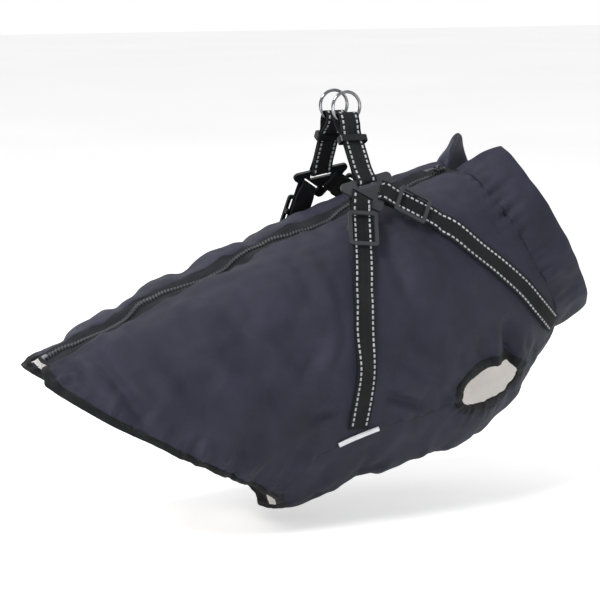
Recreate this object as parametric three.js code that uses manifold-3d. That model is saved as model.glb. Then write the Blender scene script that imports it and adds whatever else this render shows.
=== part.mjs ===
// A winter coat for a dog, with a harness sewn on, standing filled out as if worn.
// Units are millimetres. X runs from tail to neck, Y from the right flank to the left, Z is up.
// The origin is on the inner face of the back, over the wearer's shoulders.

import * as THREE from 'three';
import { mergeVertices } from 'three/addons/utils/BufferGeometryUtils.js';
import Module from 'manifold-3d';

const wasm = await Module();
wasm.setup();

// Driving sizes of the cloth
const SHELL = 2.2; // padded shell and lining together
const SEAM_GAP = 0.3;
const BINDING_WIDTH = 8; // black elastic over the raw edges
const BINDING_THICK = 3;
const TAPE_WIDTH = 16; // one zip tape, from the teeth to the shell's edge
const TAPE_THICK = 1.2;
const COIL_WIDTH = 2.9; // one half of the zip's coil
const COIL_HEIGHT = 2.4;
const ZIP_WANDER = 3; // how far the zip strays to each side
const ZIP_BUCKLE = 3.2; // how far it buckles up and down
const ZIP_WAVE = 104; // length of one such wave along the back
const ZIP_CREST = -208; // where along X one wave is highest
const ZIP_STILL = 0.11; // the waves die out over this share of the back at each end
const COLLAR_HEIGHT = 39;
const COLLAR_EDGE_THICK = 5; // two layers round a soft fold
const COLLAR_START = 9; // arc from the zip to the collar's end

// Driving sizes of the harness
const WEBBING = 20;
const WEBBING_THICK = 1.5;
const WEBBING_LIFT = 1.3; // air under webbing that lies on the shell
const PLATE_THICK = 3;
const RING_RADIUS = 13.8;
const RING_WIRE = 1.5; // radius of the ring's wire

// The coat's sections, from the hem ring to the neck ring. Each lies in a tilted plane
// from a point on the back to a point on the belly. halfWidth is the widest half, which lies
// at the share widest of the depth, and the two squares say how boxy each end is.
// bellyHalf is the arc from the belly's centre to the side seam.
const SECTION_COLUMNS = [
  'backX', 'backZ', 'bellyX', 'bellyZ', 'halfWidth', 'widest', 'topSquare', 'bellySquare', 'bellyHalf',
];
const SECTIONS = [
  [-338, -131, -112, -277, 72, 0.42, 1.75, 1.8, 60],
  [-262, -98, -78, -282, 80, 0.42, 2.1, 1.9, 85],
  [-185, -65, -42, -270, 87, 0.42, 2.3, 2.0, 106],
  [-100, -32, 0, -256, 92, 0.43, 2.4, 2.1, 111],
  [-30, -6, 52, -248, 93, 0.44, 2.4, 2.1, 111],
  [30, 14, 102, -237, 88, 0.46, 2.3, 2.1, 110],
  [68, 25, 154, -199, 74, 0.48, 2.2, 2.1, 77],
  [94, 31, 201, -133, 62, 0.5, 2.1, 2.1, 30],
].map((row) => Object.fromEntries(row.map((value, i) => [SECTION_COLUMNS[i], value])));

// The largest folds of a side, seen from that side: the two ends of each fold, its
// half breadth, and its height above the cloth, or its depth where that is negative.
const SIDE_FOLDS = [
  { x1: -272, z1: -104, x2: -239, z2: -157, breadth: 12, height: -5 },
  { x1: -252, z1: -108, x2: -222, z2: -150, breadth: 13, height: 3 },
  { x1: -300, z1: -132, x2: -270, z2: -150, breadth: 10, height: 2.5 },
  { x1: -200, z1: -100, x2: -60, z2: -62, breadth: 20, height: 3 },
  { x1: -212, z1: -186, x2: -196, z2: -160, breadth: 9, height: -3.5 },
  { x1: -186, z1: -200, x2: -172, z2: -168, breadth: 9, height: 3 },
  { x1: -166, z1: -214, x2: -150, z2: -182, breadth: 8, height: -3.5 },
  { x1: -142, z1: -228, x2: -124, z2: -190, breadth: 10, height: 3.5 },
  { x1: -118, z1: -236, x2: -104, z2: -206, breadth: 8, height: -3 },
  { x1: -95, z1: -178, x2: -68, z2: -164, breadth: 10, height: -3.5 },
  { x1: -104, z1: -120, x2: -58, z2: -98, breadth: 22, height: -5 },
  { x1: -92, z1: -146, x2: -60, z2: -134, breadth: 16, height: 4 },
  { x1: -20, z1: -160, x2: 14, z2: -172, breadth: 10, height: -4.5 },
  { x1: -10, z1: -140, x2: 34, z2: -150, breadth: 14, height: 3.5 },
  { x1: 10, z1: -60, x2: 52, z2: -110, breadth: 20, height: 3.5 },
  { x1: 56, z1: -96, x2: 84, z2: -128, breadth: 14, height: -4 },
  { x1: 118, z1: -118, x2: 120, z2: -146, breadth: 7, height: -5 },
  { x1: 140, z1: -122, x2: 143, z2: -152, breadth: 8, height: 4 },
  { x1: 62, z1: -16, x2: 112, z2: -20, breadth: 15, height: 4 },
];
const FAR_FOLD_SHIFT = -14; // the far side's folds lie a little nearer the tail
const FAR_FOLD_SHARE = 0.7;

// The lumps along the back on each side of the zip, by their place along X.
const BACK_LUMPS = [
  { x: -286, breadth: 15, near: 1.5, far: 1.5 },
  { x: -246, breadth: 17, near: 3.5, far: 3.5 },
  { x: -214, breadth: 11, near: -2.5, far: -2.5 },
  { x: -186, breadth: 17, near: 2.5, far: 2.5 },
  { x: -150, breadth: 12, near: -2, far: -5 },
  { x: -118, breadth: 20, near: 2.5, far: 0 },
  { x: -72, breadth: 14, near: -2, far: -2 },
  { x: 60, breadth: 18, near: 2, far: 2 },
  { x: 94, breadth: 18, near: 0, far: 7 },
];
const LUMP_ARC = 46; // the lumps' middle, as an arc from the zip
const LUMP_SPREAD = 24;
const ZIP_VALLEY = 4; // the zip lies this much below the cloth beside it
const ZIP_VALLEY_SPREAD = 15;
const ZIP_BUCKLE_SPREAD = 13;
const CROWN = { near: 2, far: 9 }; // the padding stands higher beside the zip on the far side

// Creases across the belly and the chest, where the outline is notched.
const BELLY_FOLDS = [
  { x: -62, breadth: 9, height: 2.5 },
  { x: -24, breadth: 10, height: -2.5 },
  { x: 12, breadth: 10, height: 2 },
  { x: 46, breadth: 7, height: -4.5 },
  { x: 66, breadth: 9, height: 2.5 },
  { x: 90, breadth: 7, height: -3 },
  { x: 118, breadth: 9, height: 3.5 },
];
const BELLY_FOLD_REACH = 70; // arc from the belly's centre over which they fade

// How far the hem is cut back from the hem ring, by the arc from the back's centre as a
// share of the half girth.
const HEM_CUT = [
  { share: 0.0, cut: 22 },
  { share: 0.06, cut: 14 },
  { share: 0.12, cut: 0 },
  { share: 0.3, cut: 0 },
  { share: 0.5, cut: 6 },
  { share: 0.66, cut: 15 },
  { share: 0.82, cut: 30 },
  { share: 0.92, cut: 22 },
  { share: 1.0, cut: 5 },
];

const FAR_HEM_LIFT = 8; // the far hem is pushed up this much more halfway round

// The leg hole lies on the side seam. Its sizes include the elastic round it.
const LEG_HOLE = { along: 0.752, halfLength: 48, above: 29, below: 26, roundness: 2.3 };
const LEG_BINDING = 9;

const NEAR = -1;
const FAR = 1;
const SIDES = [{ sign: NEAR, name: 'near' }, { sign: FAR, name: 'far' }];

// Finishes
const SHELL_FINISH = { color: 0x2b2d3c, roughness: 0.72, metalness: 0 };
const BINDING_FINISH = { color: 0x1c1d20, roughness: 0.85, metalness: 0 };
const TAPE_FINISH = { color: 0x26282c, roughness: 0.8, metalness: 0 };
const WEBBING_FINISH = { color: 0x17181a, roughness: 0.8, metalness: 0 };
const DARK_PLASTIC = { color: 0x3b3d40, roughness: 0.45, metalness: 0 };
const BLACK_PLASTIC = { color: 0x1d1e20, roughness: 0.4, metalness: 0 };
const REFLECTIVE = { color: 0xe4e6ea, roughness: 0.4, metalness: 0 };
const CHROME = { color: 0xd8dadd, roughness: 0.15, metalness: 1 };

const X_AXIS = new THREE.Vector3(1, 0, 0);
const Y_AXIS = new THREE.Vector3(0, 1, 0);
const Z_AXIS = new THREE.Vector3(0, 0, 1);

const coat = new THREE.Group();

function addPiece(name, geometry, finish) {
  const mesh = new THREE.Mesh(geometry, new THREE.MeshStandardMaterial(finish));
  mesh.name = name;
  coat.add(mesh);
  return mesh;
}

// Numbers

function smoothRow(rows, index, column) {
  const last = rows.length - 1;
  return rows[Math.min(Math.max(index, 0), last)][column];
}

function alongTable(rows, along, column) {
  const last = rows.length - 1;
  if (along <= 0) {
    const slope = (rows[1][column] - rows[0][column]) * last;
    return rows[0][column] + slope * along;
  }
  if (along >= 1) {
    const slope = (rows[last][column] - rows[last - 1][column]) * last;
    return rows[last][column] + slope * (along - 1);
  }
  const index = Math.min(Math.floor(along * last), last - 1);
  const t = along * last - index;
  const a = index === 0 ? 2 * rows[0][column] - rows[1][column] : smoothRow(rows, index - 1, column);
  const b = smoothRow(rows, index, column);
  const c = smoothRow(rows, index + 1, column);
  const d = index === last - 1 ? 2 * c - b : smoothRow(rows, index + 2, column);
  return b + 0.5 * t * (c - a + t * (2 * a - 5 * b + 4 * c - d + t * (3 * (b - c) + d - a)));
}

function between(rows, key, value, column) {
  if (value <= rows[0][key]) return rows[0][column];
  for (let i = 1; i < rows.length; i += 1) {
    if (value <= rows[i][key]) {
      const t = (value - rows[i - 1][key]) / (rows[i][key] - rows[i - 1][key]);
      const eased = t * t * (3 - 2 * t);
      return rows[i - 1][column] + (rows[i][column] - rows[i - 1][column]) * eased;
    }
  }
  return rows[rows.length - 1][column];
}

function bell(distance, breadth) {
  return Math.exp(-((distance / breadth) ** 2));
}

function span(count, from = 0, to = 1) {
  return Array.from({ length: count + 1 }, (_, i) => from + ((to - from) * i) / count);
}

// The coat's surface

const PROFILE_STEPS = 48;
const profiles = new Map();

function sectionProfile(along) {
  const key = Math.round(along * 1e6);
  if (profiles.has(key)) return profiles.get(key);
  const read = (column) => alongTable(SECTIONS, along, column);
  const back = new THREE.Vector2(read('backX'), read('backZ'));
  const belly = new THREE.Vector2(read('bellyX'), read('bellyZ'));
  const depth = back.distanceTo(belly);
  const down = belly.clone().sub(back).divideScalar(depth);
  const widest = depth * read('widest');
  const halfWidth = read('halfWidth');
  const points = [];
  let arc = 0;
  for (let i = 0; i <= PROFILE_STEPS; i += 1) {
    const angle = (Math.PI * i) / PROFILE_STEPS;
    const upper = angle <= Math.PI / 2;
    const power = 2 / read(upper ? 'topSquare' : 'bellySquare');
    const reach = Math.abs(Math.cos(angle)) ** power;
    const y = i === 0 || i === PROFILE_STEPS ? 0 : halfWidth * Math.sin(angle) ** power;
    const d = upper ? widest * (1 - reach) : widest + (depth - widest) * reach;
    if (i > 0) arc += Math.hypot(y - points[i - 1].y, d - points[i - 1].d);
    points.push({ y, d, arc });
  }
  const profile = { back, down, points, girth: arc, bellyHalf: read('bellyHalf') };
  profiles.set(key, profile);
  return profile;
}

function baseSkin(along, arc, side) {
  const profile = sectionProfile(along);
  const wanted = Math.min(Math.max(arc, 0), profile.girth);
  let i = 1;
  while (i < PROFILE_STEPS && profile.points[i].arc < wanted) i += 1;
  const a = profile.points[i - 1];
  const b = profile.points[i];
  const t = (wanted - a.arc) / (b.arc - a.arc);
  const d = a.d + (b.d - a.d) * t;
  const y = a.y + (b.y - a.y) * t;
  const { back, down } = profile;
  return new THREE.Vector3(back.x + down.x * d, side * y, back.y + down.y * d);
}

const ALONG_STEP = 0.004;
const ARC_STEP = 3;

function tangents(along, arc, side) {
  const girth = sectionProfile(along).girth;
  const low = Math.max(arc - ARC_STEP, 0);
  const high = Math.min(arc + ARC_STEP, girth);
  const forward = baseSkin(along + ALONG_STEP, arc, side).sub(baseSkin(along - ALONG_STEP, arc, side));
  forward.divideScalar(2 * ALONG_STEP);
  const round = baseSkin(along, high, side).sub(baseSkin(along, low, side)).divideScalar(high - low);
  const normal = new THREE.Vector3().crossVectors(round, forward).normalize();
  if (side === FAR) normal.negate();
  return { forward, round, normal };
}

function foldHeight(fold, x, z) {
  const dx = fold.x2 - fold.x1;
  const dz = fold.z2 - fold.z1;
  const t = ((x - fold.x1) * dx + (z - fold.z1) * dz) / (dx * dx + dz * dz);
  const near = Math.min(Math.max(t, 0), 1);
  const distance = Math.hypot(x - fold.x1 - dx * near, z - fold.z1 - dz * near);
  return fold.height * bell(distance, fold.breadth);
}

function zipWave(x, along) {
  const ends = Math.min(Math.max(Math.min(along, 1 - along) / ZIP_STILL, 0), 1);
  return ends * Math.cos((2 * Math.PI * (x - ZIP_CREST)) / ZIP_WAVE);
}

function relief(point, along, arc, side) {
  const girth = sectionProfile(along).girth;
  const far = side === FAR;
  const crown = far ? CROWN.far : CROWN.near;
  let height = -ZIP_VALLEY * bell(arc, ZIP_VALLEY_SPREAD);
  height += ZIP_BUCKLE * zipWave(point.x, along) * bell(arc, ZIP_BUCKLE_SPREAD);
  height += crown * bell(arc - LUMP_ARC, LUMP_SPREAD);
  for (const lump of BACK_LUMPS) {
    const rise = far ? lump.far : lump.near;
    height += rise * bell(point.x - lump.x, lump.breadth) * bell(arc - LUMP_ARC, LUMP_SPREAD);
  }
  const shift = far ? FAR_FOLD_SHIFT : 0;
  const share = far ? FAR_FOLD_SHARE : 1;
  const onSide = 1 - bell(arc, LUMP_ARC);
  for (const fold of SIDE_FOLDS) {
    height += share * onSide * foldHeight(fold, point.x - shift, point.z);
  }
  for (const fold of BELLY_FOLDS) {
    height += fold.height * bell(point.x - fold.x, fold.breadth) * bell(girth - arc, BELLY_FOLD_REACH);
  }
  return height;
}

function skin(along, arc, side, lift = 0) {
  const point = baseSkin(along, arc, side);
  const { normal } = tangents(along, arc, side);
  return point.clone().addScaledVector(normal, relief(point, along, arc, side) + lift);
}

function advance(along, arc, distance) {
  return along + distance / tangents(along, arc, NEAR).forward.length();
}

function seamArc(along) {
  const profile = sectionProfile(along);
  return profile.girth - profile.bellyHalf;
}

function locate(x, z) {
  let best = { along: 0.5, arc: 100, error: Infinity };
  let alongReach = 0.5;
  let arcReach = 150;
  for (let pass = 0; pass < 7; pass += 1) {
    const middle = best;
    for (const i of span(8, -1, 1)) {
      for (const j of span(8, -1, 1)) {
        const along = middle.along + i * alongReach;
        const arc = Math.max(middle.arc + j * arcReach, 0);
        const p = baseSkin(along, arc, NEAR);
        const error = Math.hypot(p.x - x, p.z - z);
        if (error < best.error) best = { along, arc, error };
      }
    }
    alongReach /= 2.6;
    arcReach /= 2.6;
  }
  return best;
}

// Closed walls between two grids of points

function slab(inner, outer, closed = false) {
  const rows = inner.length;
  const columns = inner[0].length;
  const positions = [];
  for (const grid of [outer, inner]) {
    for (const row of grid) for (const p of row) positions.push(p.x, p.y, p.z);
  }
  const at = (layer, i, j) => layer * rows * columns + (i % rows) * columns + j;
  const index = [];
  const quad = (a, b, c, d) => index.push(a, b, c, a, c, d);
  const lastRow = closed ? rows : rows - 1;
  for (let i = 0; i < lastRow; i += 1) {
    for (let j = 0; j < columns - 1; j += 1) {
      quad(at(0, i, j), at(0, i + 1, j), at(0, i + 1, j + 1), at(0, i, j + 1));
      quad(at(1, i, j), at(1, i, j + 1), at(1, i + 1, j + 1), at(1, i + 1, j));
    }
    const end = columns - 1;
    quad(at(0, i, 0), at(1, i, 0), at(1, i + 1, 0), at(0, i + 1, 0));
    quad(at(0, i, end), at(0, i + 1, end), at(1, i + 1, end), at(1, i, end));
  }
  if (!closed) {
    const end = rows - 1;
    for (let j = 0; j < columns - 1; j += 1) {
      quad(at(0, 0, j), at(0, 0, j + 1), at(1, 0, j + 1), at(1, 0, j));
      quad(at(0, end, j), at(1, end, j), at(1, end, j + 1), at(0, end, j + 1));
    }
  }
  return outward(positions, index);
}

function outward(positions, index) {
  let volume = 0;
  const corner = (n) => new THREE.Vector3(positions[3 * n], positions[3 * n + 1], positions[3 * n + 2]);
  for (let i = 0; i < index.length; i += 3) {
    volume += corner(index[i]).dot(corner(index[i + 1]).cross(corner(index[i + 2])));
  }
  const faces = volume < 0 ? index.slice().reverse() : index;
  const geometry = new THREE.BufferGeometry();
  geometry.setAttribute('position', new THREE.Float32BufferAttribute(positions, 3));
  geometry.setIndex(faces);
  geometry.computeVertexNormals();
  return geometry;
}

function wallGrid(rows, columns, place, lift) {
  return rows.map((p) => columns.map((q) => {
    const spot = place(p, q);
    return skin(spot.along, spot.arc, spot.side, lift(p, q));
  }));
}

// The side panels, the belly panel and the leg holes between them

const PANEL_STEPS_BEHIND = 20;
const PANEL_STEPS_BEFORE = 5;
const HOLE_STEPS = 12;
const PANEL_ROWS = 13;
const BELLY_COLUMNS = 10;
const HEM_FADE = 5; // how quickly the hem's cut fades into the even spacing of the grid

const alongPerMm = 1 / tangents(LEG_HOLE.along, seamArc(LEG_HOLE.along), NEAR).forward.length();
const holeStart = LEG_HOLE.along - LEG_HOLE.halfLength * alongPerMm;
const holeEnd = LEG_HOLE.along + LEG_HOLE.halfLength * alongPerMm;

function holeShape(u) {
  return Math.max(1 - Math.abs(u) ** LEG_HOLE.roundness, 0) ** (1 / LEG_HOLE.roundness);
}

const holeTurns = span(HOLE_STEPS, 0, Math.PI);
const panelAlongs = [
  ...span(PANEL_STEPS_BEHIND, 0, holeStart).slice(0, -1),
  ...holeTurns.map((turn) => LEG_HOLE.along - (holeEnd - LEG_HOLE.along) * Math.cos(turn)),
  ...span(PANEL_STEPS_BEFORE, holeEnd, 1).slice(1),
];

function holeReach(along, height) {
  const u = (along - LEG_HOLE.along) / (holeEnd - LEG_HOLE.along);
  return Math.abs(u) > 1 - 1e-9 ? 0 : height * holeShape(u);
}

function hemCut(arc, side = NEAR) {
  const share = arc / sectionProfile(0).girth;
  const lift = side === FAR ? FAR_HEM_LIFT * Math.sin(Math.PI * Math.min(share, 1)) ** 2 : 0;
  return between(HEM_CUT, 'share', share, 'cut') + lift;
}

function fromHem(p, arc, side, extra) {
  const start = advance(0, arc, hemCut(arc, side) + extra);
  const end = SEAM_GAP / 2 / tangents(1, arc, NEAR).forward.length();
  return p + start * (1 - p) ** HEM_FADE - end * p ** HEM_FADE;
}

function sidePanelArc(along, q) {
  const top = TAPE_WIDTH + SEAM_GAP;
  const low = seamArc(along) - SEAM_GAP / 2 - holeReach(along, LEG_HOLE.above);
  return top + (low - top) * q;
}

function bellyArc(along, share) {
  const profile = sectionProfile(along);
  const half = profile.bellyHalf - SEAM_GAP / 2 - holeReach(along, LEG_HOLE.below);
  return profile.girth - half * Math.abs(share);
}

for (const { sign, name } of SIDES) {
  const place = (p, q) => {
    const arc = sidePanelArc(p, q);
    return { along: fromHem(p, arc, sign, BINDING_WIDTH + SEAM_GAP), arc, side: sign };
  };
  const columns = span(PANEL_ROWS);
  const inner = wallGrid(panelAlongs, columns, place, () => 0);
  const outer = wallGrid(panelAlongs, columns, place, () => SHELL);
  addPiece(`side_panel_${name}`, slab(inner, outer), SHELL_FINISH);
}

function bellyPlace(p, q, extra) {
  const arc = bellyArc(p, q);
  const side = q < 0 ? NEAR : FAR;
  return { along: fromHem(p, arc, side, extra), arc, side };
}

const bellyColumns = span(BELLY_COLUMNS, -1, 1);
const bellyPanel = [0, SHELL].map((lift) => {
  const place = (p, q) => bellyPlace(p, q, BINDING_WIDTH + SEAM_GAP);
  return wallGrid(panelAlongs, bellyColumns, place, () => lift);
});
addPiece('belly_panel', slab(...bellyPanel), SHELL_FINISH);

// The elastic binding along the hem and round the leg holes

const BINDING_STEPS = 2;

function bindingLift(t) {
  const swell = Math.sin(Math.PI * Math.min(Math.max(t, 0), 1));
  return SHELL + (BINDING_THICK - SHELL) * swell;
}

function hemBinding(columns, arcAt, sideOf) {
  const steps = span(BINDING_STEPS);
  const grid = (lift) => columns.map((q) => steps.map((t) => {
    const arc = arcAt(q);
    const side = sideOf(q);
    const along = advance(0, arc, hemCut(arc, side) + BINDING_WIDTH * t);
    return skin(along, arc, side, lift(t));
  }));
  const under = (t) => SHELL - bindingLift(t);
  return slab(grid(under), grid(bindingLift));
}

for (const { sign, name } of SIDES) {
  const arcAt = (q) => sidePanelArc(0, q);
  const geometry = hemBinding(span(PANEL_ROWS), arcAt, () => sign);
  addPiece(`hem_binding_${name}`, geometry, BINDING_FINISH);
}
const bellyHem = hemBinding(bellyColumns, (q) => bellyArc(0, q), (q) => (q < 0 ? NEAR : FAR));
addPiece('hem_binding_belly', bellyHem, BINDING_FINISH);

function holeSpot(turn, inset) {
  const u = -Math.cos(turn);
  const along = LEG_HOLE.along + (LEG_HOLE.halfLength - inset) * alongPerMm * u;
  const above = turn <= Math.PI;
  const height = (above ? LEG_HOLE.above : LEG_HOLE.below) - inset;
  const reach = height * holeShape(u);
  return { along, arc: seamArc(along) + (above ? -reach : reach) };
}

for (const { sign, name } of SIDES) {
  const turns = span(2 * HOLE_STEPS, 0, 2 * Math.PI).slice(0, -1);
  const steps = span(BINDING_STEPS);
  const grid = (lift) => turns.map((turn) => steps.map((t) => {
    const spot = holeSpot(turn, SEAM_GAP + (LEG_BINDING - SEAM_GAP) * t);
    return skin(spot.along, spot.arc, sign, lift(t));
  }));
  const under = (t) => SHELL - bindingLift(t);
  addPiece(`leg_binding_${name}`, slab(grid(under), grid(bindingLift), true), BINDING_FINISH);
}

// The zip along the back: a tape with half the coil on each side

const ZIP_STEPS = 30;
const ZIP_COLUMNS = [0, COIL_WIDTH, COIL_WIDTH + 0.4, TAPE_WIDTH];
const ZIP_END = 0.998;
const zipStart = advance(0, 0, hemCut(0));

function zipSkin(along, across, lift) {
  return skin(along, Math.abs(across), across < 0 ? NEAR : FAR, lift);
}

function zipShift(along) {
  return ZIP_WANDER * zipWave(sectionProfile(along).back.x, along);
}

for (const { sign, name } of SIDES) {
  const grid = (isOuter) => span(ZIP_STEPS, zipStart, ZIP_END).map((along) => ZIP_COLUMNS.map((offset) => {
    const fade = 1 - offset / TAPE_WIDTH;
    const across = sign * (offset + SEAM_GAP / 2) + zipShift(along) * fade;
    const height = offset <= COIL_WIDTH ? COIL_HEIGHT : TAPE_THICK;
    return zipSkin(along, across, isOuter ? height : 0);
  }));
  addPiece(`zip_tape_${name}`, slab(grid(false), grid(true)), TAPE_FINISH);
}

// The collar: a doubled band round the neck ring, open at the zip

const COLLAR_STEPS = 52;
const COLLAR_BAND = [
  { rise: 0, thick: SHELL },
  { rise: 0.3, thick: 3.4 },
  { rise: 0.7, thick: COLLAR_EDGE_THICK },
  { rise: 0.92, thick: COLLAR_EDGE_THICK * 0.8 },
  { rise: 1, thick: 1.2 },
];
const COLLAR_WAVES = 13;
const COLLAR_WAVE_HEIGHT = 1.3;
const COLLAR_FLARE = 3;
const COLLAR_END = [ // how far each end leans back from the neck, over what share and how fully
  { side: NEAR, splay: 22, lean: 5, reach: 0.16, swell: 1 },
  { side: FAR, splay: 10, lean: 7.5, reach: 0.24, swell: 0.6 },
];
const COLLAR_TIP = { cut: 0.5, reach: 26 }; // the far end's upper corner, rounded off

function collarPoint(w, rise, lift) {
  const side = w < 0 ? NEAR : FAR;
  const profile = sectionProfile(1);
  const end = COLLAR_END.find((entry) => entry.side === side);
  const start = COLLAR_START + end.splay * rise ** 1.2;
  const arc = profile.girth - Math.abs(w) * (profile.girth - start);
  const { normal } = tangents(1, arc, side);
  const axis = new THREE.Vector3(-profile.down.y, 0, profile.down.x);
  const radial = normal.clone().addScaledVector(axis, -normal.dot(axis)).normalize();
  const facing = normal.clone().lerp(radial, Math.min(rise * 3, 1)).normalize();
  const wave = COLLAR_WAVE_HEIGHT * Math.sin(Math.PI * COLLAR_WAVES * w) * (1 - rise * 0.5);
  const atEnd = end.lean * bell(1 - Math.abs(w), end.reach) * rise ** end.swell;
  const ahead = side === NEAR ? facing : tangents(1, 0, side).normal;
  const fromEnd = Math.min((arc - start) / COLLAR_TIP.reach, 1);
  const height = COLLAR_HEIGHT * (side === FAR ? 1 - COLLAR_TIP.cut * (1 - fromEnd) ** 2 : 1);
  const point = skin(1, arc, side, 0).addScaledVector(axis, SEAM_GAP + height * rise);
  point.addScaledVector(ahead, atEnd);
  return point.addScaledVector(facing, COLLAR_FLARE * rise ** 1.5 + wave + lift);
}

const collarGrids = [-1, 1].map((face) => span(COLLAR_STEPS, -1, 1).map((w) => COLLAR_BAND.map((band) => {
  return collarPoint(w, band.rise, SHELL / 2 + (face * band.thick) / 2);
})));
addPiece('collar', slab(...collarGrids), SHELL_FINISH);

// The harness stands up like a tent, from the flanks to the rings over the back

const TENT = { x: -22, y: 50, z: 23, lean: Math.atan2(37, 59) };

function tentFrame(side) {
  const across = new THREE.Vector3(1, 0, 0);
  const up = new THREE.Vector3(0, -side * Math.sin(TENT.lean), Math.cos(TENT.lean));
  const out = new THREE.Vector3(0, side * Math.cos(TENT.lean), Math.sin(TENT.lean));
  return { origin: new THREE.Vector3(TENT.x, side * TENT.y, TENT.z), across, up, out };
}

function inTent(side, x, up, out = 0) {
  const frame = tentFrame(side);
  const point = frame.origin.clone().addScaledVector(frame.across, x);
  return point.addScaledVector(frame.up, up).addScaledVector(frame.out, out);
}

function placed(geometry, origin, across, up, out) {
  const matrix = new THREE.Matrix4().makeBasis(across, up, out).setPosition(origin);
  const solid = mergeVertices(bare(geometry));
  solid.applyMatrix4(matrix);
  const positions = Array.from(solid.attributes.position.array);
  return outward(positions, Array.from(solid.index.array));
}

function bare(geometry) {
  const copy = geometry.clone();
  copy.deleteAttribute('normal');
  copy.deleteAttribute('uv');
  return copy;
}

// The strap plates: a rounded triangle with a slot for the strap along each edge.
// Corners are in the tent plane, from its middle, and each edge has its own slot height.
const PLATE = {
  corners: [{ x: -22, up: -1 }, { x: 23, up: 9 }, { x: 6, up: -21 }],
  slots: [6, 4.2, 4.2],
  knob: 4.5,
  bar: 4,
  slotLength: 21.5,
};
const RING_EDGE = 0;
const CHEST_EDGE = 1;
const GIRTH_EDGE = 2;

function plateEdge(index) {
  const a = PLATE.corners[index];
  const b = PLATE.corners[(index + 1) % 3];
  const length = Math.hypot(b.x - a.x, b.up - a.up);
  const along = { x: (b.x - a.x) / length, up: (b.up - a.up) / length };
  const inward = { x: along.up, up: -along.x };
  return { middle: { x: (a.x + b.x) / 2, up: (a.up + b.up) / 2 }, along, inward };
}

function knobbedOutline(corners, radius) {
  const points = [];
  corners.forEach((corner, i) => {
    const before = corners[(i + corners.length - 1) % corners.length];
    const after = corners[(i + 1) % corners.length];
    const from = Math.atan2(corner.up - before.up, corner.x - before.x) + Math.PI / 2;
    let to = Math.atan2(after.up - corner.up, after.x - corner.x) + Math.PI / 2;
    while (to > from) to -= 2 * Math.PI;
    for (const angle of span(5, from, to)) {
      const turned = [corner.x + radius * Math.cos(angle), corner.up + radius * Math.sin(angle)];
      points.push(new THREE.Vector2(...turned));
    }
  });
  return points.reverse();
}

function slotCorners(index) {
  const { middle, along, inward } = plateEdge(index);
  const shallow = PLATE.bar - PLATE.knob;
  return [[-1, 0], [1, 0], [1, 1], [-1, 1]].map(([end, deep]) => {
    const run = (end * PLATE.slotLength) / 2;
    const sink = shallow + deep * PLATE.slots[index];
    const x = middle.x + along.x * run + inward.x * sink;
    return new THREE.Vector2(x, middle.up + along.up * run + inward.up * sink);
  });
}

function plateGeometry() {
  const outline = new THREE.Shape(knobbedOutline(PLATE.corners, PLATE.knob));
  for (const index of [RING_EDGE, CHEST_EDGE, GIRTH_EDGE]) {
    outline.holes.push(new THREE.Path(slotCorners(index)));
  }
  return new THREE.ExtrudeGeometry(outline, { depth: PLATE_THICK, bevelEnabled: false });
}

for (const { sign, name } of SIDES) {
  const frame = tentFrame(sign);
  const origin = frame.origin.clone().addScaledVector(frame.out, -PLATE_THICK / 2);
  const geometry = placed(plateGeometry(), origin, frame.across, frame.up, frame.out);
  addPiece(`strap_plate_${name}`, geometry, sign === NEAR ? DARK_PLASTIC : BLACK_PLASTIC);
}

// Webbing, built as a ribbon of rows: each row crosses the webbing from edge to edge

const ROW_OFFSETS = span(3, -WEBBING / 2, WEBBING / 2);
const LOOP_RADIUS = 3.55; // middle of the webbing where it turns round a bar of the plate
const PLY_OFFSET = 1.85; // half the distance between the two layers above a slide
const LOOP_FADE = 13; // the layers close up over this length from the plate
const LAND_FADE = 16; // the webbing turns onto the shell over this length
const LAND_STOPS = [4, 10, LAND_FADE]; // rows of webbing this far from the landing
const LOOP_STOPS = [LOOP_FADE, 9, 6, 3]; // rows of webbing this far from the plate's bar
const LOOP_STEPS = 6;
const STRAP_TAIL = [-4, 2]; // the under layer ends just past the slide's middle bar
const ARC_SCALE = 500; // brings arcs and places along the coat to like sizes

function smooth(t) {
  const x = Math.min(Math.max(t, 0), 1);
  return x * x * (3 - 2 * x);
}

function barCentre(side, edge) {
  const { middle, inward } = plateEdge(edge);
  const reach = PLATE.knob - PLATE.bar / 2;
  return inTent(side, middle.x - inward.x * reach, middle.up - inward.up * reach);
}

function edgeAxes(side, edge) {
  const frame = tentFrame(side);
  const { along, inward } = plateEdge(edge);
  const turn = (v) => frame.across.clone().multiplyScalar(v.x).addScaledVector(frame.up, v.up);
  return { across: turn(along), away: turn(inward).negate(), out: frame.out };
}

function straightRow(centre, across, normal, offset) {
  return [-1, 1].map((face) => ROW_OFFSETS.map((o) => {
    const point = centre.clone().addScaledVector(across, o);
    return point.addScaledVector(normal, offset + (face * WEBBING_THICK) / 2);
  }));
}

function surfaceFrame(spot, heading, side) {
  const { forward, round, normal } = tangents(spot.along, spot.arc, side);
  const path = forward.clone().multiplyScalar(heading.along).addScaledVector(round, heading.arc);
  const across = new THREE.Vector3().crossVectors(path, normal).normalize();
  return { forward, round, normal, across };
}

function surfaceRow(spot, heading, side) {
  const { forward, round, across } = surfaceFrame(spot, heading, side);
  const ff = forward.dot(forward);
  const fr = forward.dot(round);
  const rr = round.dot(round);
  const af = across.dot(forward);
  const ar = across.dot(round);
  const scale = ff * rr - fr * fr;
  const stepAlong = (af * rr - ar * fr) / scale;
  const stepArc = (ar * ff - af * fr) / scale;
  return [0, 1].map((face) => ROW_OFFSETS.map((o) => {
    const lift = SHELL + WEBBING_LIFT + face * WEBBING_THICK;
    return skin(spot.along + stepAlong * o, spot.arc + stepArc * o, side, lift);
  }));
}

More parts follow.
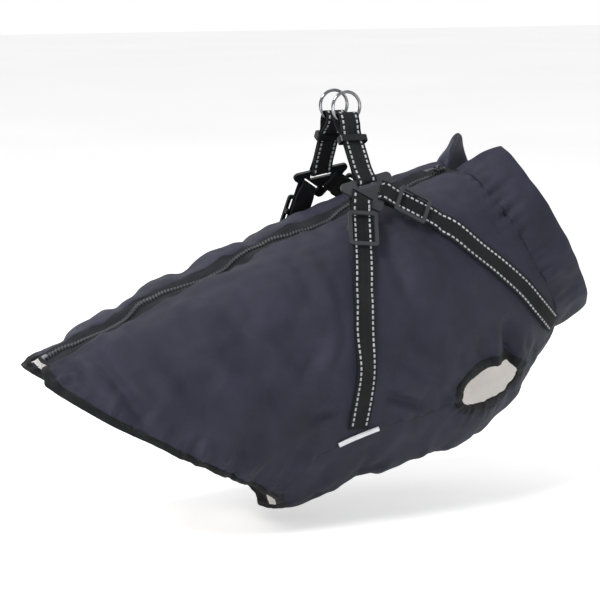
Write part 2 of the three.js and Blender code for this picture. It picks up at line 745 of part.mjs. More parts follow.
// A path on the skin runs through points given by their place seen from the side.
function surfacePath(waypoints, steps) {
  const spots = waypoints.map((point) => locate(point.x, point.z));
  const knots = spots.map((s) => new THREE.Vector3(s.along, s.arc / ARC_SCALE, 0));
  const curve = new THREE.CatmullRomCurve3(knots);
  return span(steps).map((t) => {
    const at = curve.getPoint(t);
    const heading = curve.getTangent(t);
    return {
      spot: { along: at.x, arc: at.y * ARC_SCALE },
      heading: { along: heading.x, arc: heading.y * ARC_SCALE },
    };
  });
}

// The straight stretch in the air, from the landing on the shell to the plate's bar
function airStretch(side, edge, landing) {
  const bar = barCentre(side, edge);
  const atBar = edgeAxes(side, edge);
  const frame = surfaceFrame(landing.spot, landing.heading, side);
  const middle = SHELL + WEBBING_LIFT + WEBBING_THICK / 2;
  const land = skin(landing.spot.along, landing.spot.arc, side, middle);
  const run = land.clone().sub(bar);
  const length = run.length();
  const direction = run.divideScalar(length);
  const normal = atBar.out.clone().add(frame.normal);
  normal.addScaledVector(direction, -normal.dot(direction)).normalize();
  const across = new THREE.Vector3().crossVectors(direction, normal).normalize();
  if (across.dot(atBar.across) < 0) across.negate();
  const landAcross = frame.across.clone();
  if (landAcross.dot(across) < 0) landAcross.negate();
  const row = (s, ply) => {
    const nearBar = smooth(1 - s / LOOP_FADE);
    const nearLand = smooth(1 - (length - s) / LAND_FADE);
    const offset = (PLY_OFFSET + (LOOP_RADIUS - PLY_OFFSET) * nearBar) * (1 - nearLand);
    const turned = across.clone().lerp(atBar.across, nearBar).lerp(landAcross, nearLand).normalize();
    const facing = normal.clone().lerp(atBar.out, nearBar).lerp(frame.normal, nearLand).normalize();
    facing.multiplyScalar(ply);
    return straightRow(bar.clone().addScaledVector(direction, s), turned, facing, offset);
  };
  return { bar, atBar, direction, normal, across, length, row };
}

function loopRows(centre, across, out, away, steps) {
  return span(steps, 0, Math.PI).map((angle) => {
    const facing = out.clone().multiplyScalar(Math.cos(angle)).addScaledVector(away, -Math.sin(angle));
    return straightRow(centre, across, facing, LOOP_RADIUS);
  });
}

function sameWay(rows, across) {
  return rows.map((row) => {
    const run = row[0][ROW_OFFSETS.length - 1].clone().sub(row[0][0]);
    return run.dot(across) < 0 ? row.map((face) => face.slice().reverse()) : row;
  });
}

// A strap that lies on the shell, rises to the plate, turns round its bar and comes back to its slide
function plateStrap(side, edge, path, slideAt) {
  const air = airStretch(side, edge, path[path.length - 1]);
  const landing = LAND_STOPS.map((back) => air.length - back);
  const front = [...landing, slideAt, ...LOOP_STOPS].sort((a, b) => b - a);
  const rows = [
    ...path.map(({ spot, heading }) => surfaceRow(spot, heading, side)),
    ...front.map((s) => air.row(s, 1)),
    ...loopRows(air.bar, air.atBar.across, air.atBar.out, air.atBar.away, LOOP_STEPS),
    ...[...LOOP_STOPS].reverse().map((s) => air.row(s, -1)),
    ...STRAP_TAIL.map((past) => air.row(slideAt + past, -1)),
  ];
  const ordered = sameWay(rows, air.across);
  return { air, geometry: slab(ordered.map((row) => row[0]), ordered.map((row) => row[1])) };
}

// The slides: a frame over the strap, with its middle bar between the strap's two layers
const SLIDE = { width: 28.4, length: 32, bar: 3.4, thick: 2.6, round: 3, roundInside: 1.2 };
const SLIDE_BAR = { length: 4, thick: 1.8, lug: 5, inset: 0.2, into: 0.4 };

function boxAt(width, length, thick, x, y, low) {
  return new THREE.BoxGeometry(width, length, thick).translate(x, y, low + thick / 2);
}

const CORNER_STEPS = 3;

function roundedRectangle(width, length, radius) {
  const x = width / 2 - radius;
  const y = length / 2 - radius;
  const corners = [[x, y, 0], [-x, y, 1], [-x, -y, 2], [x, -y, 3]];
  const right = Math.PI / 2;
  return corners.flatMap(([cx, cy, quarter]) => span(CORNER_STEPS, quarter * right, (quarter + 1) * right)
    .map((angle) => new THREE.Vector2(cx + radius * Math.cos(angle), cy + radius * Math.sin(angle))));
}

function asManifold(geometry) {
  const solid = mergeVertices(bare(geometry));
  return new wasm.Manifold(new wasm.Mesh({
    numProp: 3,
    vertProperties: new Float32Array(solid.attributes.position.array),
    triVerts: new Uint32Array(solid.index.array),
  }));
}

function joined(geometries) {
  const solid = geometries.map(asManifold).reduce((all, next) => all.add(next));
  const mesh = solid.getMesh();
  return outward(Array.from(mesh.vertProperties), Array.from(mesh.triVerts));
}

function slideGeometry() {
  const outline = new THREE.Shape(roundedRectangle(SLIDE.width, SLIDE.length, SLIDE.round));
  const hollow = [SLIDE.width - 2 * SLIDE.bar, SLIDE.length - 2 * SLIDE.bar];
  outline.holes.push(new THREE.Path(roundedRectangle(...hollow, SLIDE.roundInside).reverse()));
  const frameLow = PLY_OFFSET + WEBBING_THICK / 2 + SEAM_GAP;
  const frame = new THREE.ExtrudeGeometry(outline, { depth: SLIDE.thick, bevelEnabled: false });
  frame.translate(0, 0, frameLow);
  const barLow = -SLIDE_BAR.thick / 2;
  const lugX = (SLIDE.width - SLIDE.bar) / 2;
  const lugTall = frameLow - barLow + SLIDE_BAR.into;
  const lugWidth = SLIDE.bar - SLIDE_BAR.inset;
  const lugs = [-1, 1].map((end) => boxAt(lugWidth, SLIDE_BAR.lug, lugTall, end * lugX, 0, barLow));
  const bar = boxAt(SLIDE.width - SLIDE.bar, SLIDE_BAR.length, SLIDE_BAR.thick, 0, 0, barLow);
  return joined([frame, ...lugs, bar]);
}

const GIRTH_POINTS = [{ x: -47, z: -192 }, { x: -44, z: -150 }, { x: -44, z: -105 }, { x: -43, z: -66 }];
const CHEST_POINTS = [
  { x: 180, z: -119 }, { x: 156, z: -100 }, { x: 132, z: -78 },
  { x: 104, z: -56 }, { x: 74, z: -35 }, { x: 47, z: -16 },
];
const STRAPS = [
  { name: 'girth', edge: GIRTH_EDGE, points: GIRTH_POINTS, steps: 11, slideAt: 28 },
  { name: 'chest', edge: CHEST_EDGE, points: CHEST_POINTS, steps: 16, slideAt: 28 },
];

for (const { sign, name } of SIDES) {
  for (const strap of STRAPS) {
    const path = surfacePath(strap.points, strap.steps);
    const { air, geometry } = plateStrap(sign, strap.edge, path, strap.slideAt);
    addPiece(`${strap.name}_strap_${name}`, geometry, WEBBING_FINISH);
    const origin = air.bar.clone().addScaledVector(air.direction, strap.slideAt);
    const slide = placed(slideGeometry(), origin, air.across, air.direction, air.normal);
    addPiece(`${strap.name}_slide_${name}`, slide, sign === NEAR ? DARK_PLASTIC : BLACK_PLASTIC);
  }
}

// The ring straps: each a closed loop from the plate's upper bar to a ring

const RING_AXIS_UP = 69.3; // the ring turns about this line across the tent plane
const RING_SHIFT = -2.5;
const RING_LOOP = 5 + WEBBING_THICK / 2; // room for the ring's wire inside the loop
const RING_SAG = 0.5; // the ring's wire hangs this much below the loop's middle
const RING_STRAP_UP = RING_AXIS_UP - 5; // where the loop begins to open for the ring
const RING_FADE = 12;
const RING_PLY_OFFSET = PLY_OFFSET - 0.4; // the two layers are stitched close together here
const KEEPER_UP = 48;
const KEEPER = { width: 28, depth: 9.4, wall: 2.2, tall: 6, round: 2.5, roundInside: 0.8 };

for (const { sign, name } of SIDES) {
  const bar = barCentre(sign, RING_EDGE);
  const frame = tentFrame(sign);
  const atBar = edgeAxes(sign, RING_EDGE);
  const top = inTent(sign, RING_SHIFT, RING_AXIS_UP);
  const low = inTent(sign, RING_SHIFT, RING_STRAP_UP);
  const side = (share, ply) => {
    const centre = bar.clone().lerp(low, share);
    const height = share * RING_STRAP_UP;
    const nearBar = smooth(1 - height / LOOP_FADE);
    const nearRing = smooth(1 - (RING_STRAP_UP - height) / RING_FADE);
    const spread = (LOOP_RADIUS - PLY_OFFSET) * nearBar + (RING_LOOP - PLY_OFFSET) * nearRing;
    const offset = RING_PLY_OFFSET + spread;
    const across = frame.across.clone().lerp(atBar.across, nearBar).normalize();
    return straightRow(centre, across, frame.out, ply * offset);
  };
  const shares = [0.06, 0.12, 0.2, 0.4, 0.6, 0.8, 0.87, 0.94, 1];
  const over = span(8, 0, Math.PI).slice(0, -1).map((angle) => {
    const facing = frame.out.clone().multiplyScalar(Math.cos(angle));
    facing.addScaledVector(frame.up, Math.sin(angle));
    return straightRow(top, frame.across, facing, RING_LOOP);
  });
  const back = [...shares].reverse().map((share) => {
    const [inner, outer] = side(share, -1);
    return [outer, inner];
  });
  const round = loopRows(bar, atBar.across, atBar.out, atBar.away, LOOP_STEPS).reverse().slice(1, -1);
  const rows = [...shares.map((share) => side(share, 1)), ...over, ...back, ...round];
  const geometry = slab(rows.map((row) => row[0]), rows.map((row) => row[1]), true);
  addPiece(`ring_strap_${name}`, geometry, WEBBING_FINISH);

  const ring = new THREE.TorusGeometry(RING_RADIUS, RING_WIRE, 8, 28);
  ring.rotateX(Math.PI / 2);
  const drop = RING_RADIUS - Math.sqrt(RING_RADIUS ** 2 - (WEBBING / 2) ** 2);
  const centre = top.clone();
  centre.z += RING_RADIUS - drop / 2 - RING_SAG;
  addPiece(`ring_${name}`, placed(ring, centre, X_AXIS, Y_AXIS, Z_AXIS), CHROME);

  const outline = new THREE.Shape(roundedRectangle(KEEPER.width, KEEPER.depth, KEEPER.round));
  const hollow = [KEEPER.width - 2 * KEEPER.wall, KEEPER.depth - 2 * KEEPER.wall];
  const inside = roundedRectangle(...hollow, KEEPER.roundInside).reverse();
  outline.holes.push(new THREE.Path(inside));
  const keeper = new THREE.ExtrudeGeometry(outline, { depth: KEEPER.tall, bevelEnabled: false });
  const keeperAt = inTent(sign, RING_SHIFT * 0.7, KEEPER_UP - KEEPER.tall / 2);
  addPiece(`ring_keeper_${name}`, placed(keeper, keeperAt, frame.across, frame.out, frame.up), BLACK_PLASTIC);
}

// The reflective bar over each girth strap's end, along the side seam

const TRIM = { length: 41, width: 5, thick: 2.2, lift: 0.6, x: -45, z: -199 };

for (const { sign, name } of SIDES) {
  const middle = locate(TRIM.x, TRIM.z).along;
  const rows = span(8, -0.5, 0.5).map((share) => advance(middle, seamArc(middle), share * TRIM.length));
  const columns = [-0.5, -0.3, 0.3, 0.5];
  const grid = (outer) => rows.map((along) => columns.map((c) => {
    const crown = Math.abs(c) < 0.4 ? TRIM.thick : TRIM.thick * 0.5;
    return skin(along, seamArc(along) + c * TRIM.width, sign, SHELL + TRIM.lift + (outer ? crown : 0));
  }));
  addPiece(`seam_bar_${name}`, slab(grid(false), grid(true)), REFLECTIVE);
}

// The zip's slider, its pull tab and the stop at the tail end

const SLIDER = { along: 0.93, length: 11, width: 8, thick: 1.7, lift: 0.6, round: 2.4 };
const ARCH = { radius: 2.4, wall: 1.1, width: 3, sink: 0.5 };
const TAB = { length: 18, width: 7.5, thick: 1.4, bar: 1.6, hole: 5.4, holeWidth: 4.4, pivot: 1.15 };
const STOP = { length: 5, width: 7.5, thick: 1.6 };
const STEEL = { color: 0xb9bcc2, roughness: 0.3, metalness: 1 };

function zipFrame(along, lift) {
  const back = sectionProfile(along + 0.01).back.clone().sub(sectionProfile(along - 0.01).back).normalize();
  const ahead = new THREE.Vector3(back.x, 0, back.y);
  const up = new THREE.Vector3(-back.y, 0, back.x);
  const origin = zipSkin(along, zipShift(along), 0);
  origin.y = zipShift(along);
  return { origin: origin.addScaledVector(up, lift), ahead, up };
}

function stadium(length, width, start) {
  const radius = width / 2;
  const right = Math.PI / 2;
  const ends = [[start + radius, right, 3 * right], [start + length - radius, -right, right]];
  return ends.flatMap(([x, from, to]) => span(6, from, to)
    .map((angle) => new THREE.Vector2(x + radius * Math.cos(angle), radius * Math.sin(angle))));
}

function onZip(geometry, frame) {
  return placed(geometry, frame.origin, frame.ahead, Y_AXIS, frame.up);
}

const sliderFrame = zipFrame(SLIDER.along, COIL_HEIGHT + SEAM_GAP + SLIDER.lift);
const sliderPlate = new THREE.ExtrudeGeometry(
  new THREE.Shape(roundedRectangle(SLIDER.length, SLIDER.width, SLIDER.round)),
  { depth: SLIDER.thick, bevelEnabled: false },
);
const archOuter = ARCH.radius + ARCH.wall;
const archTurns = span(8, 0, Math.PI);
const archCurve = (radius, turns) => turns.map((t) => {
  return new THREE.Vector2(radius * Math.cos(t), radius * Math.sin(t));
});
const arch = new THREE.Shape([
  ...archCurve(archOuter, archTurns),
  new THREE.Vector2(-archOuter, -ARCH.sink),
  new THREE.Vector2(-ARCH.radius, -ARCH.sink),
  ...archCurve(ARCH.radius, [...archTurns].reverse()),
  new THREE.Vector2(ARCH.radius, -ARCH.sink),
  new THREE.Vector2(archOuter, -ARCH.sink),
]);
const archSolid = new THREE.ExtrudeGeometry(arch, { depth: ARCH.width, bevelEnabled: false });
archSolid.rotateX(Math.PI / 2).translate(0, ARCH.width / 2, SLIDER.thick);
addPiece('zip_slider', onZip(joined([sliderPlate, archSolid]), sliderFrame), STEEL);

const tabOutline = new THREE.Shape(stadium(TAB.length, TAB.width, -TAB.bar / 2));
const tabHole = [[0, -1], [0, 1], [TAB.hole, 1], [TAB.hole, -1]].map(([x, end]) => {
  return new THREE.Vector2(x + TAB.bar / 2, (end * TAB.holeWidth) / 2);
});
tabOutline.holes.push(new THREE.Path(tabHole));
const tab = new THREE.ExtrudeGeometry(tabOutline, { depth: TAB.thick, bevelEnabled: false });
tab.rotateZ(Math.PI).translate(0, 0, SLIDER.thick + TAB.pivot - TAB.thick / 2);
addPiece('pull_tab', onZip(tab, sliderFrame), STEEL);

const stopFrame = zipFrame(advance(zipStart, 0, STOP.length), COIL_HEIGHT + SEAM_GAP);
const stop = new THREE.ExtrudeGeometry(
  new THREE.Shape(roundedRectangle(STOP.length, STOP.width, 1)),
  { depth: STOP.thick, bevelEnabled: false },
);
addPiece('zip_stop', onZip(stop, stopFrame), STEEL);

export default coat;
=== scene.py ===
"""A winter coat for a dog, with a harness sewn on, drawn over the solids of its frame.

Units are metres, except in the tables whose heading says millimetres. X runs from the tail
to the neck, Y from the right flank to the left, and Z is up.
"""

import logging
import math
from dataclasses import dataclass
from enum import Enum

import bmesh
import bpy
import numpy as np
from mathutils import Matrix, Vector
from mathutils.bvhtree import BVHTree
from mathutils.kdtree import KDTree


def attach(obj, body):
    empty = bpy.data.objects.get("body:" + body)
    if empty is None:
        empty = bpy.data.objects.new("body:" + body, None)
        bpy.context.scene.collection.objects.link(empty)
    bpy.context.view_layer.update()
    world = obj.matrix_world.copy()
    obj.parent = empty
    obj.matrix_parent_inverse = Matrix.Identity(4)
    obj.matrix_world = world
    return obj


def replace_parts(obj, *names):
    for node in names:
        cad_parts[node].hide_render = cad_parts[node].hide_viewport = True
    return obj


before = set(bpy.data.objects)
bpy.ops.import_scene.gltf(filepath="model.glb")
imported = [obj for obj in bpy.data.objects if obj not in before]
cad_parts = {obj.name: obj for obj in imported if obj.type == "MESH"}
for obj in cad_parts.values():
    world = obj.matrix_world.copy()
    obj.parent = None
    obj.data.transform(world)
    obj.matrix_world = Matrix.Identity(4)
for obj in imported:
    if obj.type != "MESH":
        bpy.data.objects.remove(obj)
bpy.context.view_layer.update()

log = logging.getLogger("coat")

MM = 0.001
Colour = tuple[float, float, float]
SIDES = {"near": -1.0, "far": 1.0}


def srgb(red: float, green: float, blue: float) -> Colour:
    """Linear colour of an 8-bit display colour.

    Args:
        red: Red from 0 to 255.
        green: Green from 0 to 255.
        blue: Blue from 0 to 255.

    Returns:
        The linear colour.
    """
    return tuple((channel / 255) ** 2.2 for channel in (red, green, blue))


# Finishes


class Nodes:
    """Adds nodes to one shader tree and joins them."""

    def __init__(self, tree: bpy.types.NodeTree) -> None:
        """Args: tree: The tree that the nodes go into."""
        self.tree = tree

    def add(self, kind: str, sockets: dict | None = None, **settings: object) -> bpy.types.Node:
        """Makes a node.

        Args:
            kind: The node's type name.
            sockets: Its inputs, each a value or the socket of another node.
            settings: Its properties.

        Returns:
            The node.
        """
        node = self.tree.nodes.new(kind)
        for key, value in settings.items():
            setattr(node, key, value)
        for key, value in (sockets or {}).items():
            if isinstance(value, bpy.types.NodeSocket):
                self.tree.links.new(value, node.inputs[key])
            else:
                node.inputs[key].default_value = value
        return node

    def maths(self, operation: str, first: object, second: object = 0.0) -> bpy.types.NodeSocket:
        """Makes a maths node.

        Args:
            operation: What it does.
            first: Its first value or socket.
            second: Its second value or socket.

        Returns:
            Its output socket.
        """
        return self.add("ShaderNodeMath", {0: first, 1: second}, operation=operation).outputs[0]


def new_group(name: str, inputs: dict[str, str], outputs: dict[str, str]) -> tuple[Nodes, dict, dict]:
    """Makes an empty node group.

    Args:
        name: The group's name.
        inputs: Socket type by input name.
        outputs: Socket type by output name.

    Returns:
        Its nodes, its input sockets and the inputs of its output node.
    """
    tree = bpy.data.node_groups.new(name, "ShaderNodeTree")
    for label, kind in inputs.items():
        tree.interface.new_socket(label, in_out="INPUT", socket_type=kind)
    for label, kind in outputs.items():
        tree.interface.new_socket(label, in_out="OUTPUT", socket_type=kind)
    nodes = Nodes(tree)
    source = nodes.add("NodeGroupInput")
    sink = nodes.add("NodeGroupOutput")
    return nodes, source.outputs, sink.inputs


FLOAT = "NodeSocketFloat"
COLOUR = "NodeSocketColor"
NORMAL = "NodeSocketVector"


def tone_group() -> bpy.types.NodeTree:
    """Group that mottles a colour between a dark and a light tone, with a mask of the same patches."""
    inputs = {"Dark": COLOUR, "Light": COLOUR, "Size": FLOAT}
    nodes, source, sink = new_group("Uneven tone", inputs, {"Colour": COLOUR, "Mask": FLOAT})
    place = nodes.add("ShaderNodeTexCoord").outputs["Object"]
    scale = nodes.maths("DIVIDE", 1.0, source["Size"])
    broad = nodes.add("ShaderNodeTexNoise", {"Vector": place, "Scale": scale, "Detail": 3.0})
    fine_scale = nodes.maths("MULTIPLY", scale, 24.0)
    fine = nodes.add("ShaderNodeTexNoise", {"Vector": place, "Scale": fine_scale, "Detail": 2.0})
    both = nodes.maths("ADD", broad.outputs[0], nodes.maths("MULTIPLY", fine.outputs[0], 0.35))
    mask = nodes.add("ShaderNodeMapRange", {0: both, 1: 0.45, 2: 0.9})
    mixed = nodes.add("ShaderNodeMix", {0: mask.outputs[0]}, data_type="RGBA")
    nodes.tree.links.new(source["Dark"], mixed.inputs[6])
    nodes.tree.links.new(source["Light"], mixed.inputs[7])
    nodes.tree.links.new(mixed.outputs[2], sink["Colour"])
    nodes.tree.links.new(mask.outputs[0], sink["Mask"])
    return nodes.tree


def relief_group(name: str, height: object) -> bpy.types.NodeTree:
    """Makes a group that turns a height into a normal.

    Args:
        name: The group's name.
        height: A function of the nodes and the pitch socket that returns the height socket.

    Returns:
        The group, with the inputs Pitch and Depth and the outputs Normal and Height.
    """
    outputs = {"Normal": NORMAL, "Height": FLOAT}
    nodes, source, sink = new_group(name, {"Pitch": FLOAT, "Depth": FLOAT}, outputs)
    value = height(nodes, source["Pitch"])
    bump = nodes.add("ShaderNodeBump", {"Height": value, "Distance": source["Depth"]})
    nodes.tree.links.new(bump.outputs["Normal"], sink["Normal"])
    nodes.tree.links.new(value, sink["Height"])
    return nodes.tree


def grating(nodes: Nodes, place: object, pitch: object) -> bpy.types.NodeSocket:
    """Rises and falls once in each pitch.

    Args:
        nodes: The nodes.
        place: The distance that it is read from.
        pitch: The length of one wave.

    Returns:
        The height, from -1 to 1.
    """
    turns = nodes.maths("DIVIDE", place, pitch)
    return nodes.maths("SINE", nodes.maths("MULTIPLY", turns, 2 * math.pi))


def grain_height(nodes: Nodes, pitch: object) -> bpy.types.NodeSocket:
    """Fine even grain, as on moulded plastic or brushed metal."""
    place = nodes.add("ShaderNodeTexCoord").outputs["Object"]
    scale = nodes.maths("DIVIDE", 1.0, pitch)
    return nodes.add("ShaderNodeTexNoise", {"Vector": place, "Scale": scale, "Detail": 4.0}).outputs[0]


def weave_height(nodes: Nodes, pitch: object) -> bpy.types.NodeSocket:
    """Threads that cross each other, slightly uneven, over places on the piece."""
    place = nodes.add("ShaderNodeTexCoord").outputs["Object"]
    split = nodes.add("ShaderNodeSeparateXYZ", {0: place})
    slant = nodes.maths("ADD", split.outputs[0], nodes.maths("MULTIPLY", split.outputs[1], 0.6))
    fall = nodes.maths("ADD", split.outputs[2], nodes.maths("MULTIPLY", split.outputs[1], 0.6))
    crossing = nodes.maths("MULTIPLY", grating(nodes, slant, pitch), grating(nodes, fall, pitch))
    scale = nodes.maths("DIVIDE", 0.3, pitch)
    uneven = nodes.add("ShaderNodeTexNoise", {"Vector": place, "Scale": scale, "Detail": 3.0})
    return nodes.maths("ADD", crossing, nodes.maths("MULTIPLY", uneven.outputs[0], 1.5))


def rib_height(nodes: Nodes, pitch: object) -> bpy.types.NodeSocket:
    """Ribs across webbing, with a herringbone slant on its two halves, over its own length."""
    uv = nodes.add("ShaderNodeUVMap", uv_map="UVMap").outputs[0]
    split = nodes.add("ShaderNodeSeparateXYZ", {0: uv})
    across = nodes.maths("PINGPONG", split.outputs[0], 0.0025)
    lean = nodes.maths("ADD", split.outputs[1], nodes.maths("MULTIPLY", across, 0.8))
    ribs = grating(nodes, lean, pitch)
    warp = grating(nodes, split.outputs[0], nodes.maths("MULTIPLY", pitch, 0.6))
    return nodes.maths("ADD", ribs, nodes.maths("MULTIPLY", warp, 0.5))


def diagonal_height(nodes: Nodes, pitch: object) -> bpy.types.NodeSocket:
    """Two slanted gratings that cross, as on pressed reflective tape."""
    place = nodes.add("ShaderNodeTexCoord").outputs["Object"]
    split = nodes.add("ShaderNodeSeparateXYZ", {0: place})
    rise = nodes.maths("ADD", split.outputs[0], split.outputs[2])
    fall = nodes.maths("SUBTRACT", split.outputs[0], split.outputs[2])
    return nodes.maths("MULTIPLY", grating(nodes, rise, pitch), grating(nodes, fall, pitch))


class Texture(Enum):
    """What the surface of a finish feels like."""

    GRAIN = "Moulded grain"
    WEAVE = "Crossed threads"
    RIBS = "Webbing ribs"
    DIAGONAL = "Pressed lozenges"


HEIGHTS = {
    Texture.GRAIN: grain_height,
    Texture.WEAVE: weave_height,
    Texture.RIBS: rib_height,
    Texture.DIAGONAL: diagonal_height,
}


@dataclass(frozen=True)
class Finish:
    """A material: its two tones, its gloss, the relief of its surface, and any painted light that it gives
    off.
    """

    name: str
    dark: Colour
    light: Colour
    roughness: float
    texture: Texture
    pitch: float
    depth: float
    patch: float = 0.03
    metallic: float = 0.0
    sheen: float = 0.0
    specular: float = 0.5
    wear: float = 0.08
    glow: float = 0.0

    def material(self) -> bpy.types.Material:
        """The Blender material of this finish, made once."""
        known = bpy.data.materials.get(self.name)
        if known is not None:
            return known
        made = bpy.data.materials.new(self.name)
        made.use_nodes = True
        nodes = Nodes(made.node_tree)
        shader = made.node_tree.nodes["Principled BSDF"]
        tone = nodes.add("ShaderNodeGroup", node_tree=GROUPS["tone"])
        tone.inputs["Dark"].default_value = (*self.dark, 1.0)
        tone.inputs["Light"].default_value = (*self.light, 1.0)
        tone.inputs["Size"].default_value = self.patch
        relief = nodes.add("ShaderNodeGroup", node_tree=GROUPS[self.texture])
        relief.inputs["Pitch"].default_value = self.pitch
        relief.inputs["Depth"].default_value = self.depth
        worn = nodes.maths("MULTIPLY", tone.outputs["Mask"], self.wear)
        rough = nodes.maths("SUBTRACT", self.roughness, worn)
        made.node_tree.links.new(tone.outputs["Colour"], shader.inputs["Base Color"])
        made.node_tree.links.new(rough, shader.inputs["Roughness"])
        made.node_tree.links.new(relief.outputs["Normal"], shader.inputs["Normal"])
        shader.inputs["Metallic"].default_value = self.metallic
        shader.inputs["Sheen Weight"].default_value = self.sheen
        shader.inputs["Sheen Roughness"].default_value = 0.4
        shader.inputs["Specular IOR Level"].default_value = self.specular
        # Painted light: the finish gives off light in its own colour, though it is no lamp.
        if self.glow:
            made.node_tree.links.new(tone.outputs["Colour"], shader.inputs["Emission Color"])
            shader.inputs["Emission Strength"].default_value = self.glow
        return made


GROUPS: dict = {"tone": tone_group()}
GROUPS.update({kind: relief_group(kind.value, HEIGHTS[kind]) for kind in Texture})

SHELL = Finish(
    "Shell cloth", srgb(34, 34, 49), srgb(46, 46, 64), 0.6, Texture.WEAVE, 0.0005, 0.00006,
    patch=0.05, sheen=0.06, specular=0.35,
)
LINING = Finish(
    "Pale lining", srgb(232, 228, 224), srgb(250, 248, 246), 0.9, Texture.WEAVE, 0.0012, 0.0002,
    patch=0.04, sheen=0.3, specular=0.2,
    # Painted light: the lining gives off a little light, so that it stays bright in the shade inside the
    # coat.
    glow=0.2,
)
BINDING = Finish(
    "Black elastic", srgb(18, 19, 22), srgb(30, 31, 35), 0.8, Texture.WEAVE, 0.0009, 0.00022,
    patch=0.015, sheen=0.1, specular=0.3,
)
TAPE = Finish(
    "Zip tape", srgb(30, 31, 35), srgb(42, 43, 48), 0.8, Texture.RIBS, 0.0008, 0.0001,
    patch=0.02, specular=0.3,
)
COIL = Finish("Zip coil", srgb(60, 61, 65), srgb(82, 83, 87), 0.55, Texture.GRAIN, 0.001, 0.00002)
WEBBING = Finish(
    "Black webbing", srgb(20, 21, 24), srgb(33, 34, 37), 0.72, Texture.RIBS, 0.0013, 0.0005,
    patch=0.02, specular=0.35,
)
THREAD = Finish("Dark thread", srgb(34, 35, 42), srgb(50, 51, 60), 0.6, Texture.GRAIN, 0.0004, 0.00003)
YARN = Finish("Pale yarn", srgb(150, 150, 156), srgb(186, 186, 192), 0.5, Texture.GRAIN, 0.0005, 0.00005)
DARK_PLASTIC = Finish(
    "Dark grey plastic", srgb(46, 47, 51), srgb(60, 61, 65), 0.42, Texture.GRAIN, 0.0006, 0.00002
)
BLACK_PLASTIC = Finish(
    "Black plastic", srgb(20, 21, 23), srgb(32, 33, 36), 0.38, Texture.GRAIN, 0.0006, 0.00002
)
CHROME = Finish(
    "Polished chrome", srgb(118, 120, 124), srgb(168, 170, 174), 0.14, Texture.GRAIN, 0.0008, 0.000004,
    metallic=1.0, wear=0.04,
)
ZIP_METAL = Finish(
    "Satin zip metal", srgb(84, 87, 92), srgb(124, 127, 133), 0.42, Texture.GRAIN, 0.0005, 0.00001,
    metallic=1.0,
)
REFLECTIVE = Finish(
    "Reflective tape", srgb(214, 217, 224), srgb(246, 247, 250), 0.35, Texture.DIAGONAL, 0.0016, 0.00008,
    patch=0.01,
)


# Meshes


def merged_copy(node: str) -> bmesh.types.BMesh:
    """Copies a solid of the frame and merges its doubled corners.

    Args:
        node: The solid's node.

    Returns:
        The closed copy, with its faces all turned the same way.
    """
    shape = bmesh.new()
    shape.from_mesh(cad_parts[node].data)
    bmesh.ops.remove_doubles(shape, verts=shape.verts, dist=0.02 * MM)
    bmesh.ops.recalc_face_normals(shape, faces=shape.faces)
    return shape


def in_quads(shape: bmesh.types.BMesh) -> bmesh.types.BMesh:
    """Pairs the triangles of a mesh and returns it."""
    turn = math.radians(60)
    bmesh.ops.join_triangles(
        shape, faces=shape.faces[:], angle_face_threshold=turn, angle_shape_threshold=math.pi
    )
    return shape


def new_piece(name: str, shape: bmesh.types.BMesh, finishes: list[Finish]) -> bpy.types.Object:
    """Makes an object of a mesh and puts it in the scene.

    Args:
        name: The piece's name.
        shape: The mesh, which is freed.
        finishes: Its materials, by slot.

    Returns:
        The object.
    """
    mesh = bpy.data.meshes.new(name)
    shape.to_mesh(mesh)
    shape.free()
    for finish in finishes:
        mesh.materials.append(finish.material())
    mesh.shade_smooth()
    made = bpy.data.objects.new(name, mesh)
    bpy.context.scene.collection.objects.link(made)
    return made


def finish_piece(made: bpy.types.Object, slot: str, body: str = "coat") -> bpy.types.Object:
    """Attaches a piece to the body that it moves with and logs its slot.

    Args:
        made: The piece.
        slot: The slot's name, which is only logged.
        body: The body.

    Returns:
        The piece.
    """
    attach(made, body)
    log.info("%s: %d faces, %s", made.name, len(made.data.polygons), slot)
    return made


def edge_samples(shape: bmesh.types.BMesh, edges: list, spacing: float) -> np.ndarray:
    """Points along edges.

    Args:
        shape: The mesh.
        edges: The edges, or all of them where the list is empty.
        spacing: The distance between points.

    Returns:
        The points, one a row.
    """
    points = []
    for edge in edges or shape.edges:
        start, end = (vertex.co for vertex in edge.verts)
        count = max(int(edge.calc_length() / spacing), 1)
        points.extend(start.lerp(end, (i + 0.5) / count) for i in range(count))
    return np.array(points)


def tree_of(points: np.ndarray) -> KDTree:
    """Search tree of points."""
    tree = KDTree(len(points))
    for index, point in enumerate(points):
        tree.insert(point, index)
    tree.balance()
    return tree


CENTRE_LINE = np.array(
    [(-0.225, 0, -0.204), (0.010, 0, -0.127), (0.147, 0, -0.050), (0.190, 0, -0.020)]
)


def radial_of(points: np.ndarray) -> np.ndarray:
    """Directions from the coat's centre line out to points.

    Args:
        points: The points, one a row.

    Returns:
        The unit directions, one a row.
    """
    best = np.full(len(points), np.inf)
    radial = np.zeros_like(points)
    for start, end in zip(CENTRE_LINE[:-1], CENTRE_LINE[1:]):
        run = end - start
        share = np.clip(((points - start) @ run) / (run @ run), 0, 1)
        away = points - start - share[:, None] * run
        distance = np.linalg.norm(away, axis=1)
        closer = distance < best
        best[closer] = distance[closer]
        radial[closer] = away[closer] / distance[closer, None]
    return radial


def facing_out(shape: bmesh.types.BMesh) -> np.ndarray:
    """How far each face looks away from the coat's centre line, from -1 to 1."""
    centres = np.array([face.calc_center_median() for face in shape.faces])
    normals = np.array([face.normal for face in shape.faces])
    return np.einsum("ij,ij->i", normals, radial_of(centres))


OUTSIDE = 0.45  # faces that look out or in more than this are the cloth's two sides
SEAM_ALLOWANCE = 3.5 * MM  # the shell turns in this far at each seam


# The drape of the cloth


class Seen(Enum):
    """The side from which a fold is placed."""

    NEAR = "near flank"
    FAR = "far flank"
    BELOW = "below"
    ABOVE = "above"


